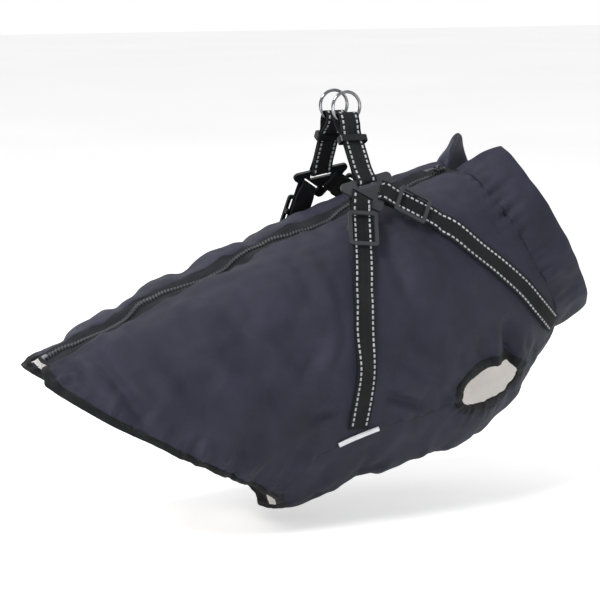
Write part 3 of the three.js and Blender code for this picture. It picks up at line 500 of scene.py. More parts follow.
@dataclass(frozen=True)
class FoldLine:
    """A soft ridge or trough between two points, in millimetres, seen flat from one side."""

    x1: float
    v1: float
    x2: float
    v2: float
    breadth: float
    height: float

    def rise(self, flat: np.ndarray) -> np.ndarray:
        """Height of the fold at points.

        Args:
            flat: The points in metres, as seen flat from the fold's side.

        Returns:
            The heights in metres.
        """
        start = np.array([self.x1, self.v1]) * MM
        run = np.array([self.x2, self.v2]) * MM - start
        share = ((flat - start) @ run) / (run @ run)
        inside = np.clip(share, 0, 1)
        away = np.linalg.norm(flat - start - inside[:, None] * run, axis=1)
        taper = 0.55 + 0.45 * np.sin(math.pi * inside)
        return self.height * MM * taper * np.exp(-((away / (self.breadth * MM)) ** 2))


# Folds of the flanks, in millimetres along X and Z: creases of the loin, tucks at the tail,
# gathers over the lower hem, folds beside the girth strap, and puckers under the zip.
FLANK_FOLDS = [
    FoldLine(*row)
    for row in [
        (-287, -105, -249, -166, 5, -2.2),
        (-298, -112, -262, -168, 7, 1.6),
        (-275, -102, -237, -158, 7, 1.4),
        (-357, -119, -349, -133, 3, -1.4),
        (-347, -118, -338, -133, 3, -1.2),
        (-352, -118, -343, -133, 3, 1.1),
        (-327, -112, -306, -144, 6, 1.5),
        (-316, -105, -291, -149, 5, -1.4),
        (-212, -208, -200, -188, 4, -1.8),
        (-200, -215, -192, -192, 4, 1.6),
        (-190, -219, -181, -195, 4, -1.2),
        (-177, -225, -169, -200, 5, 1.8),
        (-165, -229, -157, -205, 4, -1.8),
        (-152, -234, -145, -213, 4, 1.4),
        (-138, -238, -133, -218, 4, -1.7),
        (-121, -238, -116, -217, 4, 1.5),
        (-106, -232, -103, -212, 4, -1.5),
        (-90, -228, -86, -208, 4, 1.4),
        (-76, -221, -72, -203, 4, -1.3),
        (-88, -180, -57, -167, 5, -2.2),
        (-86, -172, -59, -159, 6, 1.8),
        (-101, -190, -69, -181, 6, 1.4),
        (-23, -163, 17, -176, 5, -2.2),
        (-20, -154, 14, -164, 6, 1.8),
        (-16, -175, 20, -185, 5, 1.2),
        (-84, -122, -53, -96, 10, 2.4),
        (-74, -129, -49, -108, 6, -1.8),
        (-103, -134, -72, -112, 7, -1.2),
        (111, -112, 121, -149, 5, -2.8),
        (134, -122, 131, -153, 6, 2.6),
        (98, -118, 100, -146, 5, 1.4),
        (80, -124, 86, -148, 5, -1.6),
        (64, -138, 74, -158, 5, 1.5),
        (-240, -78, -223, -102, 8, 1.5),
        (-217, -63, -194, -99, 7, -1.6),
        (-192, -65, -169, -99, 9, 1.6),
        (-154, -52, -142, -89, 7, -1.4),
        (-130, -41, -111, -82, 9, 1.5),
        (-96, -35, -90, -72, 6, -1.3),
        (-84, -31, -74, -73, 7, 1.3),
        (-231, -115, -192, -152, 12, -1.8),
        (-200, -114, -154, -159, 12, 1.6),
        (-165, -114, -117, -169, 10, -1.5),
        (-144, -99, -103, -148, 9, 1.3),
        (-13, -30, 1, -79, 9, -1.6),
        (1, -18, 26, -62, 9, 1.6),
        (-7, -97, 30, -131, 9, -1.6),
        (-1, -117, 43, -151, 9, 1.5),
        (-11, -131, 22, -155, 6, -1.2),
        (32, -77, 74, -113, 8, 1.4),
        (43, -120, 72, -147, 6, -1.5),
        (26, -161, 53, -182, 5, -1.4),
        (22, -149, 51, -167, 5, 1.4),
        (-258, -174, -242, -160, 5, -1.3),
        (-283, -161, -269, -150, 5, 1.2),
        (-327, -148, -310, -136, 5, -1.2),
        (-235, -191, -225, -173, 5, 1.5),
    ]
]
FAR_SHIFT = -9 * MM  # the far flank's folds lie a little nearer the tail

# Folds of the belly and chest, in millimetres along X and Y, seen from below
BELLY_LINES = [
    FoldLine(*row)
    for row in [
        (-70, -70, -58, -10, 7, -1.6),
        (-66, 12, -74, 66, 7, 1.5),
        (-44, -40, -36, 30, 6, 1.4),
        (-30, -78, -18, -30, 6, -1.5),
        (-16, 10, -26, 70, 6, -1.4),
        (2, -60, 10, 8, 7, 1.5),
        (20, -20, 16, 58, 6, -1.5),
        (40, -66, 48, -16, 6, 1.4),
        (52, 4, 46, 50, 6, 1.5),
        (66, -46, 72, 20, 6, -1.6),
        (88, -30, 84, 34, 6, 1.3),
        (106, -36, 110, 14, 6, -1.4),
        (128, -18, 124, 30, 6, 1.2),
        (146, -24, 150, 16, 6, -1.2),
    ]
]

# Lumps beside the zip, in millimetres along X and Y, seen from above
BACK_LINES = [
    FoldLine(*row)
    for row in [
        (-318, 22, -306, 44, 7, 1.5),
        (-292, 20, -286, 52, 6, -1.6),
        (-262, 22, -270, 50, 8, 1.5),
        (-238, 20, -232, 54, 6, -1.5),
        (-206, 22, -212, 56, 8, 1.4),
        (-176, 22, -168, 52, 7, -1.6),
        (-140, 20, -146, 56, 9, 1.6),
        (-108, 22, -102, 50, 7, -1.5),
        (-76, 20, -80, 52, 8, 1.4),
        (-44, 22, -38, 48, 7, -1.3),
        (-304, -24, -296, -46, 6, -1.3),
        (-252, -22, -246, -50, 6, -1.4),
        (-190, -22, -182, -48, 6, -1.2),
        (-124, -22, -118, -50, 6, -1.4),
        (-62, -22, -56, -46, 6, -1.2),
        (46, -24, 52, -44, 6, -1.2),
        (40, 24, 46, 44, 6, -1.3),
    ]
]


class Ripples:
    """Even-tempered small waves in every direction, always the same for one seed."""

    def __init__(self, seed: int, length: float, waves: int = 14) -> None:
        """Sets the waves.

        Args:
            seed: Chooses the waves.
            length: Their middling length in metres.
            waves: How many there are.
        """
        chance = np.random.default_rng(seed)
        ways = chance.normal(size=(waves, 3))
        ways /= np.linalg.norm(ways, axis=1)[:, None]
        lengths = length * chance.uniform(0.7, 1.5, waves)
        self.ways = ways * (2 * math.pi / lengths)[:, None]
        self.starts = chance.uniform(0, 2 * math.pi, waves)
        self.share = math.sqrt(2 / waves)

    def at(self, points: np.ndarray) -> np.ndarray:
        """Heights at points, mostly from -1 to 1."""
        return self.share * np.sin(points @ self.ways.T + self.starts).sum(axis=1)


@dataclass(frozen=True)
class DrapeSizes:
    """Sizes of the small relief that all the cloth shares, in metres."""

    fold_gain: float = 1.7
    broad: float = 1.0 * MM
    fine: float = 0.42 * MM
    pucker_reach: float = 9 * MM
    trough: float = 0.55 * MM
    trough_breadth: float = 1.8 * MM
    held_from: float = 7 * MM
    held_to: float = 24 * MM
    sample: float = 1.5 * MM
    overlap: float = 0.45 * MM


# How strongly the cloth puckers at its seam with each kind of piece, in millimetres
PUCKERS = {
    "collar": 1.7,
    "leg_binding": 1.2,
    "hem_binding": 1.2,
    "zip_tape": 0.45,
    "side_panel": 0.7,
    "belly_panel": 0.7,
}
PANELS = ["side_panel_near", "side_panel_far", "belly_panel"]
CLOTH = [
    *PANELS, "collar", "zip_tape_near", "zip_tape_far", "hem_binding_near", "hem_binding_far",
    "hem_binding_belly", "leg_binding_near", "leg_binding_far",
]
PINNED = [
    "girth_strap_near", "girth_strap_far", "chest_strap_near", "chest_strap_far",
    "seam_bar_near", "seam_bar_far", "zip_slider", "zip_stop",
]


class Drape:
    """Moves every cloth piece by one shared relief, so that seams stay together."""

    def __init__(self, sizes: DrapeSizes) -> None:
        """Reads the cloth's sides, seams and straps from the frame.

        Args:
            sizes: The sizes of the relief.
        """
        self.sizes = sizes
        centres, normals, seams, labels, corners = [], [], [], [], []
        for node in CLOTH:
            shape = merged_copy(node)
            out = facing_out(shape)
            for face, share in zip(shape.faces, out):
                if share > OUTSIDE:
                    centres.append(face.calc_center_median())
                    normals.append(face.normal.copy())
            if node in PANELS:
                seams.append((node, edge_samples(shape, self.rims(shape, out), sizes.sample)))
            kind = next(kind for kind in PUCKERS if node.startswith(kind))
            corners.extend((vertex.co.copy(), node, kind) for vertex in shape.verts)
            shape.free()
        self.normals = np.array(normals)
        self.sides = tree_of(np.array(centres))
        self.seam_points = np.concatenate([points for _, points in seams])
        self.seams = tree_of(self.seam_points)
        strengths = []
        for node, points in seams:
            others = [corner for corner in corners if corner[1] != node]
            tree = tree_of(np.array([corner[0] for corner in others]))
            strengths.extend(PUCKERS[others[tree.find(point)[1]][2]] for point in points)
        self.strengths = np.array(strengths) * MM
        pinned = []
        for node in PINNED:
            shape = merged_copy(node)
            pinned.append(edge_samples(shape, [], sizes.sample * 2))
            shape.free()
        self.pinned = tree_of(np.concatenate(pinned))
        self.waves_broad = Ripples(11, 46 * MM)
        self.waves_fine = Ripples(12, 19 * MM)
        self.waves_seam = Ripples(13, 11 * MM)
        self.waves_short = Ripples(15, 4.6 * MM)

    @staticmethod
    def rims(shape: bmesh.types.BMesh, out: np.ndarray) -> list:
        """Edges between the outer side of a piece and its narrow rim."""
        return [
            edge for edge in shape.edges
            if len(edge.link_faces) == 2
            and sum(out[face.index] > OUTSIDE for face in edge.link_faces) == 1
        ]

    def normal_at(self, points: np.ndarray) -> np.ndarray:
        """Smoothed outward directions of the cloth at points.

        Args:
            points: The points, one a row.

        Returns:
            Unit directions, one a row.
        """
        result = np.empty_like(points)
        for i, point in enumerate(points):
            found = self.sides.find_n(point, 6)
            result[i] = sum(self.normals[index] / (distance + 2 * MM) for _, index, distance in found)
        return result / np.linalg.norm(result, axis=1)[:, None]

    def folds(self, points: np.ndarray, normals: np.ndarray) -> np.ndarray:
        """Heights of the placed folds at points.

        Args:
            points: The points, one a row.
            normals: The cloth's directions there.

        Returns:
            The heights in metres.
        """
        side = points[:, [0, 2]]
        plan = points[:, :2]
        shifted = side - np.array([FAR_SHIFT, 0])
        tables = [
            (FLANK_FOLDS, side, -normals[:, 1]),
            (FLANK_FOLDS, shifted, normals[:, 1]),
            (BELLY_LINES, plan, -normals[:, 2]),
            (BACK_LINES, plan, normals[:, 2]),
        ]
        height = np.zeros(len(points))
        for lines, flat, look in tables:
            weight = np.clip(2.2 * look - 0.4, 0, 1)
            height += weight * sum(line.rise(flat) for line in lines)
        return height

    def held(self, points: np.ndarray) -> np.ndarray:
        """How freely the cloth moves, from 0 under a strap to 1 away from all of them."""
        away = np.array([self.pinned.find(point)[2] for point in points])
        span = self.sizes.held_to - self.sizes.held_from
        share = np.clip((away - self.sizes.held_from) / span, 0, 1)
        return share * share * (3 - 2 * share)

    def outgrown(self, points: np.ndarray, normals: np.ndarray) -> np.ndarray:
        """Moves that close the gap between pieces at a seam.

        Args:
            points: The points of a piece, one a row.
            normals: The piece's own directions there.

        Returns:
            The moves, which are greatest where a rim faces its neighbour.
        """
        facing = self.normal_at(points)
        upright = np.einsum("ij,ij->i", facing, normals)
        sideways = normals - facing * upright[:, None]
        return self.sizes.overlap * sideways

    def offset(self, points: np.ndarray, gather: float = 0.0) -> np.ndarray:
        """How far the relief moves points.

        Args:
            points: The points, one a row.
            gather: The height in metres of short gathers across a narrow band.

        Returns:
            The moves, one a row.
        """
        sizes = self.sizes
        normals = self.normal_at(points)
        nearest = [self.seams.find(point) for point in points]
        index = np.array([found[1] for found in nearest])
        away = np.array([found[2] for found in nearest])
        seam = self.seam_points[index]
        height = sizes.fold_gain * self.folds(points, normals)
        height += sizes.broad * self.waves_broad.at(points) + sizes.fine * self.waves_fine.at(points)
        pucker = self.strengths[index] * self.waves_seam.at(seam)
        height += pucker * np.exp(-away / sizes.pucker_reach)
        height -= sizes.trough * np.exp(-((away / sizes.trough_breadth) ** 2))
        if gather:
            height += gather * self.waves_short.at(seam)
        return normals * (height * self.held(points))[:, None]


# Cloth pieces


class Side(Enum):
    """Which faces of a cloth piece take the lining."""

    LINED = "lining inside"
    PLAIN = "the same cloth on both sides"


@dataclass(frozen=True)
class ClothCut:
    """A cloth piece: its solid, what shows of its cut, and how finely it is drawn."""

    node: str
    flat: tuple[float, float]
    area: float
    held: str
    finish: Finish
    slot: str
    side: Side = Side.PLAIN
    levels: int = 3
    gather: float = 0.0


CUTS = [
    ClothCut("side_panel_near", (0.520, 0.285), 0.0931, "stretched", SHELL, "shell", Side.LINED),
    ClothCut("side_panel_far", (0.520, 0.285), 0.0941, "stretched", SHELL, "shell", Side.LINED),
    ClothCut("belly_panel", (0.345, 0.240), 0.0616, "stretched", SHELL, "shell", Side.LINED),
    ClothCut("collar", (0.527, 0.041), 0.0210, "stretched", SHELL, "shell"),
    ClothCut("hem_binding_near", (0.270, 0.010), 0.0024, "stretched", BINDING, "binding", gather=0.2 * MM),
    ClothCut("hem_binding_far", (0.280, 0.010), 0.0025, "stretched", BINDING, "binding", gather=0.2 * MM),
    ClothCut("hem_binding_belly", (0.140, 0.010), 0.0013, "stretched", BINDING, "binding", gather=0.2 * MM),
    ClothCut("leg_binding_near", (0.250, 0.011), 0.0024, "gathered", BINDING, "binding", gather=0.22 * MM),
    ClothCut("leg_binding_far", (0.250, 0.011), 0.0024, "gathered", BINDING, "binding", gather=0.22 * MM),
]
RIM_CREASE = 0.75
RIM_ANGLE = math.radians(40)


class ClothPiece:
    """A soft shell over one cloth solid."""

    def __init__(self, cut: ClothCut, drape: Drape) -> None:
        """Makes the piece.

        Args:
            cut: What it is.
            drape: The relief that moves it.
        """
        shape = in_quads(merged_copy(cut.node))
        out = facing_out(shape)
        lined = cut.side is Side.LINED
        for face, share in zip(shape.faces, out):
            face.material_index = int(lined and share < -OUTSIDE)
        creases = shape.edges.layers.float.new("crease_edge")
        for edge in shape.edges:
            if edge.is_manifold and edge.calc_face_angle(0.0) > RIM_ANGLE:
                edge[creases] = RIM_CREASE
        finishes = [cut.finish, LINING] if lined else [cut.finish]
        self.object = self.smoothed(new_piece(cut.node + "_cloth", shape, finishes), cut.levels)
        mesh = self.object.data
        for face in mesh.polygons:
            if face.material_index and drape.seams.find(face.center)[2] < SEAM_ALLOWANCE:
                face.material_index = 0
        points = np.empty(len(mesh.vertices) * 3)
        mesh.vertices.foreach_get("co", points)
        points = points.reshape(-1, 3)
        normals = np.empty(len(points) * 3)
        mesh.vertices.foreach_get("normal", normals)
        move = drape.offset(points, cut.gather)
        points += drape.outgrown(points, normals.reshape(-1, 3)) + move
        mesh.vertices.foreach_set("co", points.ravel())
        mesh.update()
        finish_piece(self.object, cut.slot)
        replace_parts(self.object, cut.node)
        shown = sum(face.area for face in mesh.polygons) / 2
        log.info("%s: %.4f square metres of cloth show", cut.node, shown)

    @staticmethod
    def smoothed(made: bpy.types.Object, levels: int) -> bpy.types.Object:
        """Rounds a piece by subdivision, applied to its mesh.

        Args:
            made: The piece.
            levels: How many times it is halved.

        Returns:
            The piece with the finer mesh.
        """
        rounding = made.modifiers.new("Rounding", "SUBSURF")
        rounding.levels = levels
        rounding.render_levels = levels
        bpy.context.view_layer.update()
        graph = bpy.context.evaluated_depsgraph_get()
        finer = bpy.data.meshes.new_from_object(made.evaluated_get(graph))
        made.modifiers.clear()
        made.data = finer
        finer.shade_smooth()
        return made


# Webbing


def rows_of(node: str, ahead: Vector, count: int = 8) -> list[np.ndarray]:
    """Rows of corners across a strap or tape, from one end to the other.

    Args:
        node: The strap's solid.
        ahead: The direction in which its first row lies, or None for a closed loop.
        count: The corners in one row.

    Returns:
        The rows, each with its corners one a row.
    """
    shape = merged_copy(node)
    if ahead is None:
        verts = sorted(shape.verts, key=lambda vertex: -vertex.co.z)
        top = verts[: count // 2]
        rest = verts[count // 2 :]
        first = set(top)
        for vertex in top:
            partner = min((v for v in rest if v not in first), key=lambda v: (v.co - vertex.co).length)
            first.add(partner)
    else:
        first = set(sorted(shape.verts, key=lambda vertex: -vertex.co.dot(ahead))[:count])
    layers = [first]
    seen = set(first)
    while True:
        edge_of = {
            edge.other_vert(vertex) for vertex in layers[-1] for edge in vertex.link_edges
        } - seen
        if not edge_of:
            break
        if len(edge_of) > count:
            edge_of = connected_part(edge_of)
        layers.append(edge_of)
        seen |= edge_of
    rows = [np.array([vertex.co for vertex in layer]) for layer in layers if len(layer) == count]
    shape.free()
    return rows


def connected_part(verts: set) -> set:
    """One of the two rows in a set of corners, joined by their own edges."""
    part = {min(verts, key=lambda vertex: vertex.co.x)}
    grown = True
    while grown:
        more = {
            edge.other_vert(vertex) for vertex in part for edge in vertex.link_edges
            if edge.other_vert(vertex) in verts
        }
        grown = not more <= part
        part |= more
    return part


def hermite(values: np.ndarray, places: np.ndarray, wanted: np.ndarray) -> np.ndarray:
    """Smooth curve through rows of values.

    Args:
        values: The values, one row a place.
        places: The places, rising.
        wanted: Where the curve is read.

    Returns:
        The values there.
    """
    shape = (-1,) + (1,) * (values.ndim - 1)
    slopes = np.gradient(values, places, axis=0)
    index = np.clip(np.searchsorted(places, wanted) - 1, 0, len(places) - 2)
    step = places[index + 1] - places[index]
    t = (wanted - places[index]) / step
    a, b = 2 * t**3 - 3 * t**2 + 1, -2 * t**3 + 3 * t**2
    c, d = (t**3 - 2 * t**2 + t) * step, (t**3 - t**2) * step
    parts = [values[index], values[index + 1], slopes[index], slopes[index + 1]]
    return sum(weight.reshape(shape) * part for weight, part in zip((a, b, c, d), parts))


class Path:
    """The middle surface of a strap or tape, from its rows."""

    def __init__(self, rows: list[np.ndarray], groups: tuple[int, ...], lift: float | None = None) -> None:
        """Sorts each row across and follows it along.

        Args:
            rows: The rows of corners.
            groups: How many corners belong to each column, from edge to edge.
            lift: The height over the under side, or None for halfway through.
        """
        ends = np.cumsum((0, *groups))
        columns, facings = [], []
        across_before, facing_before = None, None
        for row in rows:
            centre = row.mean(axis=0)
            _, _, axes = np.linalg.svd(row - centre)
            across, facing = axes[0], axes[1]
            if facing_before is None:
                out = radial_of(centre[None])[0]
                facing = facing if facing @ out > 0 else -facing
                across = across if across[0] > 0 else -across
            else:
                across = across if across @ across_before > 0 else -across
                facing = facing if facing @ facing_before > 0 else -facing
            across_before, facing_before = across, facing
            sorted_row = row[np.argsort((row - centre) @ across)]
            column = []
            for start, end in zip(ends[:-1], ends[1:]):
                group = sorted_row[start:end]
                group = group[np.argsort(group @ facing)]
                low = group[: len(group) // 2].mean(axis=0)
                high = group[len(group) // 2 :].mean(axis=0)
                column.append((low + high) / 2 if lift is None else low + facing * lift)
            columns.append(column)
            facings.append(facing)
        self.columns = np.array(columns)
        self.facings = np.array(facings)
        steps = np.linalg.norm(np.diff(self.columns.mean(axis=1), axis=0), axis=1)
        self.places = np.concatenate([[0.0], np.cumsum(steps)])
        self.length = float(self.places[-1])
        widths = np.linalg.norm(np.diff(self.columns, axis=1), axis=2).mean(axis=0)
        self.spread = np.concatenate([[0.0], np.cumsum(widths)])
        self.width = float(self.spread[-1])

    def at(self, along: np.ndarray, across: np.ndarray) -> tuple[np.ndarray, np.ndarray]:
        """Points on the middle surface and the directions it faces.

        Args:
            along: Distances from the first row.
            across: Distances from the first edge, for each of those.

        Returns:
            The points and the unit directions.
        """
        columns = hermite(self.columns, self.places, along)
        facing = hermite(self.facings, self.places, along)
        facing /= np.linalg.norm(facing, axis=1)[:, None]
        points = np.empty((len(along), 3))
        for axis in range(3):
            points[:, axis] = [
                np.interp(across[i], self.spread, columns[i, :, axis]) for i in range(len(along))
            ]
        return points, facing

    def frames(self, along: np.ndarray, across: float) -> list[Matrix]:
        """Places for small parts: X across, Y along and Z out, at one distance from the edge."""
        step = 0.2 * MM
        sides = np.full(len(along), across)
        here, facing = self.at(along, sides)
        ahead, _ = self.at(along + step, sides)
        made = []
        for point, out, tip in zip(here, facing, ahead):
            run = Vector(tip - point).normalized()
            up = Vector(out)
            up = (up - run * up.dot(run)).normalized()
            side = run.cross(up)
            made.append(Matrix((side, run, up)).transposed().to_4x4())
            made[-1].translation = Vector(point)
        return made


@dataclass(frozen=True)
class RibbonSizes:
    """How a ribbon is drawn."""

    thick: float = 1.5 * MM
    step: float = 2.4 * MM
    columns: int = 8
    edge: float = 0.35 * MM


class Ribbon:
    """Woven webbing or tape along a path."""

    def __init__(self, name: str, path: Path, finish: Finish, sizes: RibbonSizes,
                 drape: Drape | None = None) -> None:
        """Makes the ribbon.

        Args:
            name: The piece's name.
            path: Its middle surface.
            finish: Its material.
            sizes: How it is drawn.
            drape: The relief that moves it, for tape that is part of the cloth.
        """
        rows = max(int(path.length / sizes.step), 4)
        shape = bmesh.new()
        bmesh.ops.create_grid(shape, x_segments=sizes.columns, y_segments=rows, size=1.0)
        flat = np.array([vertex.co for vertex in shape.verts])
        across = (flat[:, 0] + 1) / 2 * path.width
        along = (flat[:, 1] + 1) / 2 * path.length
        points, _ = path.at(along, across)
        if drape is not None:
            points += drape.offset(points)
        map_layer = shape.loops.layers.uv.new("UVMap")
        for face in shape.faces:
            for loop in face.loops:
                loop[map_layer].uv = (across[loop.vert.index], along[loop.vert.index])
        for vertex, point in zip(shape.verts, points):
            vertex.co = point
        self.object = new_piece(name, shape, [finish])
        walls = self.object.modifiers.new("Thickness", "SOLIDIFY")
        walls.thickness = sizes.thick
        walls.offset = 0.0
        edges = self.object.modifiers.new("Soft edges", "BEVEL")
        edges.width = sizes.edge
        edges.segments = 2
        edges.limit_method = "ANGLE"
        edges.angle_limit = RIM_ANGLE


def small_blocks(name: str, frames: list[Matrix], size: tuple[float, float, float], edge: float,
                 finish: Finish) -> bpy.types.Object:
    """Many small rounded blocks as one piece.

    Args:
        name: The piece's name.
        frames: Where each block lies.
        size: Its width, length and height.
        edge: How far its edges are rounded.
        finish: Its material.

    Returns:
        The piece.
    """
    shape = bmesh.new()
    scale = Matrix.Diagonal((*size, 1.0))
    for place in frames:
        bmesh.ops.create_cube(shape, size=1.0, matrix=place @ scale)
    bmesh.ops.bevel(
        shape, geom=shape.edges[:], offset=edge, segments=1, profile=0.5, affect="EDGES", material=-1
    )
    return new_piece(name, shape, [finish])


@dataclass(frozen=True)
class StrapCut:
    """A strap: its solid, where its first row lies, and its lengths without dashes at each end."""

    node: str
    ahead: tuple[float, float, float] | None
    bare_start: float
    bare_end: float


@dataclass(frozen=True)
class DashSizes:
    """The pale woven dashes along both edges of a strap, in metres."""

    pitch: float = 5.0 * MM
    length: float = 3.2 * MM
    width: float = 1.8 * MM
    height: float = 0.5 * MM
    inset: float = 3.0 * MM


STRAPS = [
    StrapCut("girth_strap_near", (0, 0, -1), 0.003, 0.037),
    StrapCut("girth_strap_far", (0, 0, -1), 0.003, 0.037),
    StrapCut("chest_strap_near", (0.78, 0, -0.62), 0.003, 0.037),
    StrapCut("chest_strap_far", (0.78, 0, -0.62), 0.003, 0.037),
    StrapCut("ring_strap_near", None, 0.0, 0.005),
    StrapCut("ring_strap_far", None, 0.0, 0.005),
]


class Strap:
    """Webbing with two rows of pale dashes."""

    def __init__(self, cut: StrapCut, sizes: RibbonSizes, dashes: DashSizes) -> None:
        """Makes the strap.

        Args:
            cut: What it is.
            sizes: How its webbing is drawn.
            dashes: How its dashes are drawn.
        """
        ahead = Vector(cut.ahead) if cut.ahead else None
        rows = rows_of(cut.node, ahead)
        if ahead is None:
            rows.append(rows[0])
        path = Path(rows, (2, 2, 2, 2))
        ribbon = Ribbon(cut.node + "_webbing", path, WEBBING, sizes).object
        finish_piece(ribbon, "webbing")
        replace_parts(ribbon, cut.node)
        along = np.arange(cut.bare_start + dashes.pitch / 2, path.length - cut.bare_end, dashes.pitch)
        out = Matrix.Translation((0, 0, sizes.thick / 2 - dashes.height * 0.15))
        frames = []
        for across in (dashes.inset, path.width - dashes.inset):
            frames.extend(place @ out for place in path.frames(along, across))
        size = (dashes.width, dashes.length, dashes.height)
        made = small_blocks(cut.node + "_dashes", frames, size, 0.12 * MM, YARN)
        finish_piece(made, "reflective")


# The zip


@dataclass(frozen=True)
class ZipSizes:
    """Sizes of the tape and of the coil's turns, in metres."""

    tape: float = 1.2 * MM
    pitch: float = 3.0 * MM
    turn_long: float = 1.15 * MM
    turn_wide: float = 4.6 * MM
    turn_high: float = 3.2 * MM
    turn_middle: float = 1.0 * MM
    seat: float = 2.2 * MM
    rounding: float = 0.3 * MM


class Zip:
    """One side of the zip: its tape and its half of the coil."""

    def __init__(self, name: str, sizes: ZipSizes, drape: Drape) -> None:
        """Makes one side.

        Args:
            name: Which side, near or far.
            sizes: The zip's sizes.
            drape: The relief of the cloth.
        """
        node = f"zip_tape_{name}"
        path = Path(rows_of(node, Vector((-1, 0, 0))), (2, 4, 2), lift=sizes.tape / 2)
        look = RibbonSizes(thick=sizes.tape, step=2.0 * MM, columns=8, edge=0.2 * MM)
        tape = Ribbon(node + "_cloth", path, TAPE, look, drape).object
        finish_piece(tape, "zip_tape")
        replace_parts(tape, node)
        inner = path.at(np.array([path.length / 2]), np.array([0.0]))[0][0]
        outer = path.at(np.array([path.length / 2]), np.array([path.width]))[0][0]
        flipped = abs(inner[1]) > abs(outer[1])
        seat = path.width - sizes.turn_middle if flipped else sizes.turn_middle
        start = 0.5 * MM if name == "near" else 0.5 * MM + sizes.pitch / 2
        along = np.arange(start + sizes.pitch, path.length - 2 * sizes.pitch, sizes.pitch)
        frames = path.frames(along, seat)
        moves = drape.offset(np.array([place.translation for place in frames]))
        lift = sizes.seat - sizes.tape / 2
        for place, move in zip(frames, moves):
            place.translation += Vector(move) + place.col[2].to_3d() * lift
        size = (sizes.turn_wide, sizes.turn_long, sizes.turn_high)
        coil = small_blocks(f"zip_coil_{name}", frames, size, sizes.rounding, COIL)
        finish_piece(coil, "zip_tape")


# Stitches


@dataclass(frozen=True)
class StitchSizes:
    """A row of stitches along a seam, in metres."""

    pitch: float = 3.1 * MM
    length: float = 2.3 * MM
    width: float = 0.5 * MM
    height: float = 0.4 * MM
    inset: float = 2.1 * MM


class Stitches:
    """Stitches along the edges of a cloth panel, lying on its finished surface."""

    def __init__(self, node: str, cloth: bpy.types.Object, sizes: StitchSizes) -> None:
        """Makes the stitches.

        Args:
            node: The panel's solid, which gives the edges.
            cloth: The finished panel.
            sizes: How they are drawn.
        """
        shape = merged_copy(node)
        out = facing_out(shape)
        surface = bmesh.new()
        surface.from_mesh(cloth.data)
        tree = BVHTree.FromBMesh(surface)
        frames = []
        for edge in Drape.rims(shape, out):
            face = max(edge.link_faces, key=lambda item: out[item.index])
            start, end = (vertex.co for vertex in edge.verts)
            run = (end - start).normalized()
            inward = face.normal.cross(run)
            if inward.dot(face.calc_center_median() - start) < 0:
                inward.negate()
            count = max(round(edge.calc_length() / sizes.pitch), 1)
            for i in range(count):
                spot = start.lerp(end, (i + 0.5) / count) + inward * sizes.inset
                point, normal, _, _ = tree.find_nearest(spot)
                up = (normal - run * normal.dot(run)).normalized()
                place = Matrix((run.cross(up), run, up)).transposed().to_4x4()
                place.translation = point
                frames.append(place)
        shape.free()
        surface.free()
        size = (sizes.width, sizes.length, sizes.height)
        made = small_blocks(node + "_stitches", frames, size, 0.14 * MM, THREAD)
        finish_piece(made, "shell")


# Hard parts


@dataclass(frozen=True)
class HardPart:
    """A hard solid that is drawn with softer edges."""

    node: str
    finish: Finish
    slot: str
    edge: float
    body: str = "coat"


HARD_PARTS = [
    HardPart("strap_plate_near", DARK_PLASTIC, "dark_plastic", 0.7 * MM),
    HardPart("strap_plate_far", BLACK_PLASTIC, "black_plastic", 0.7 * MM),
    HardPart("girth_slide_near", DARK_PLASTIC, "dark_plastic", 0.45 * MM),
    HardPart("chest_slide_near", DARK_PLASTIC, "dark_plastic", 0.45 * MM),
    HardPart("girth_slide_far", BLACK_PLASTIC, "black_plastic", 0.45 * MM),
    HardPart("chest_slide_far", BLACK_PLASTIC, "black_plastic", 0.45 * MM),
    HardPart("ring_keeper_near", BLACK_PLASTIC, "black_plastic", 0.45 * MM),
    HardPart("ring_keeper_far", BLACK_PLASTIC, "black_plastic", 0.45 * MM),
    HardPart("seam_bar_near", REFLECTIVE, "reflective", 0.3 * MM),
    HardPart("seam_bar_far", REFLECTIVE, "reflective", 0.3 * MM),
    HardPart("zip_slider", ZIP_METAL, "zip_metal", 0.3 * MM),
    HardPart("pull_tab", ZIP_METAL, "zip_metal", 0.3 * MM, "pull"),
    HardPart("zip_stop", ZIP_METAL, "zip_metal", 0.3 * MM),
]


def soften(part: HardPart) -> bpy.types.Object:
    """Draws a hard part with rounded edges.

    Args:
        part: What it is.

    Returns:
        The piece.
    """
    shape = merged_copy(part.node)
    bmesh.ops.dissolve_limit(
        shape, angle_limit=math.radians(1), verts=shape.verts[:], edges=shape.edges[:]
    )
    made = new_piece(part.node + "_body", shape, [part.finish])
    rounding = made.modifiers.new("Rounded edges", "BEVEL")
    rounding.width = part.edge
    rounding.segments = 3
    rounding.limit_method = "ANGLE"
    rounding.angle_limit = math.radians(35)
    shading = made.modifiers.new("Even shading", "WEIGHTED_NORMAL")
    shading.keep_sharp = True
    finish_piece(made, part.slot, part.body)
    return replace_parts(made, part.node)


@dataclass(frozen=True)
class RingSizes:
    """A ring's wire and how finely it is drawn."""

    wire: float = 1.5 * MM
    round_steps: int = 16
    ring_steps: int = 96


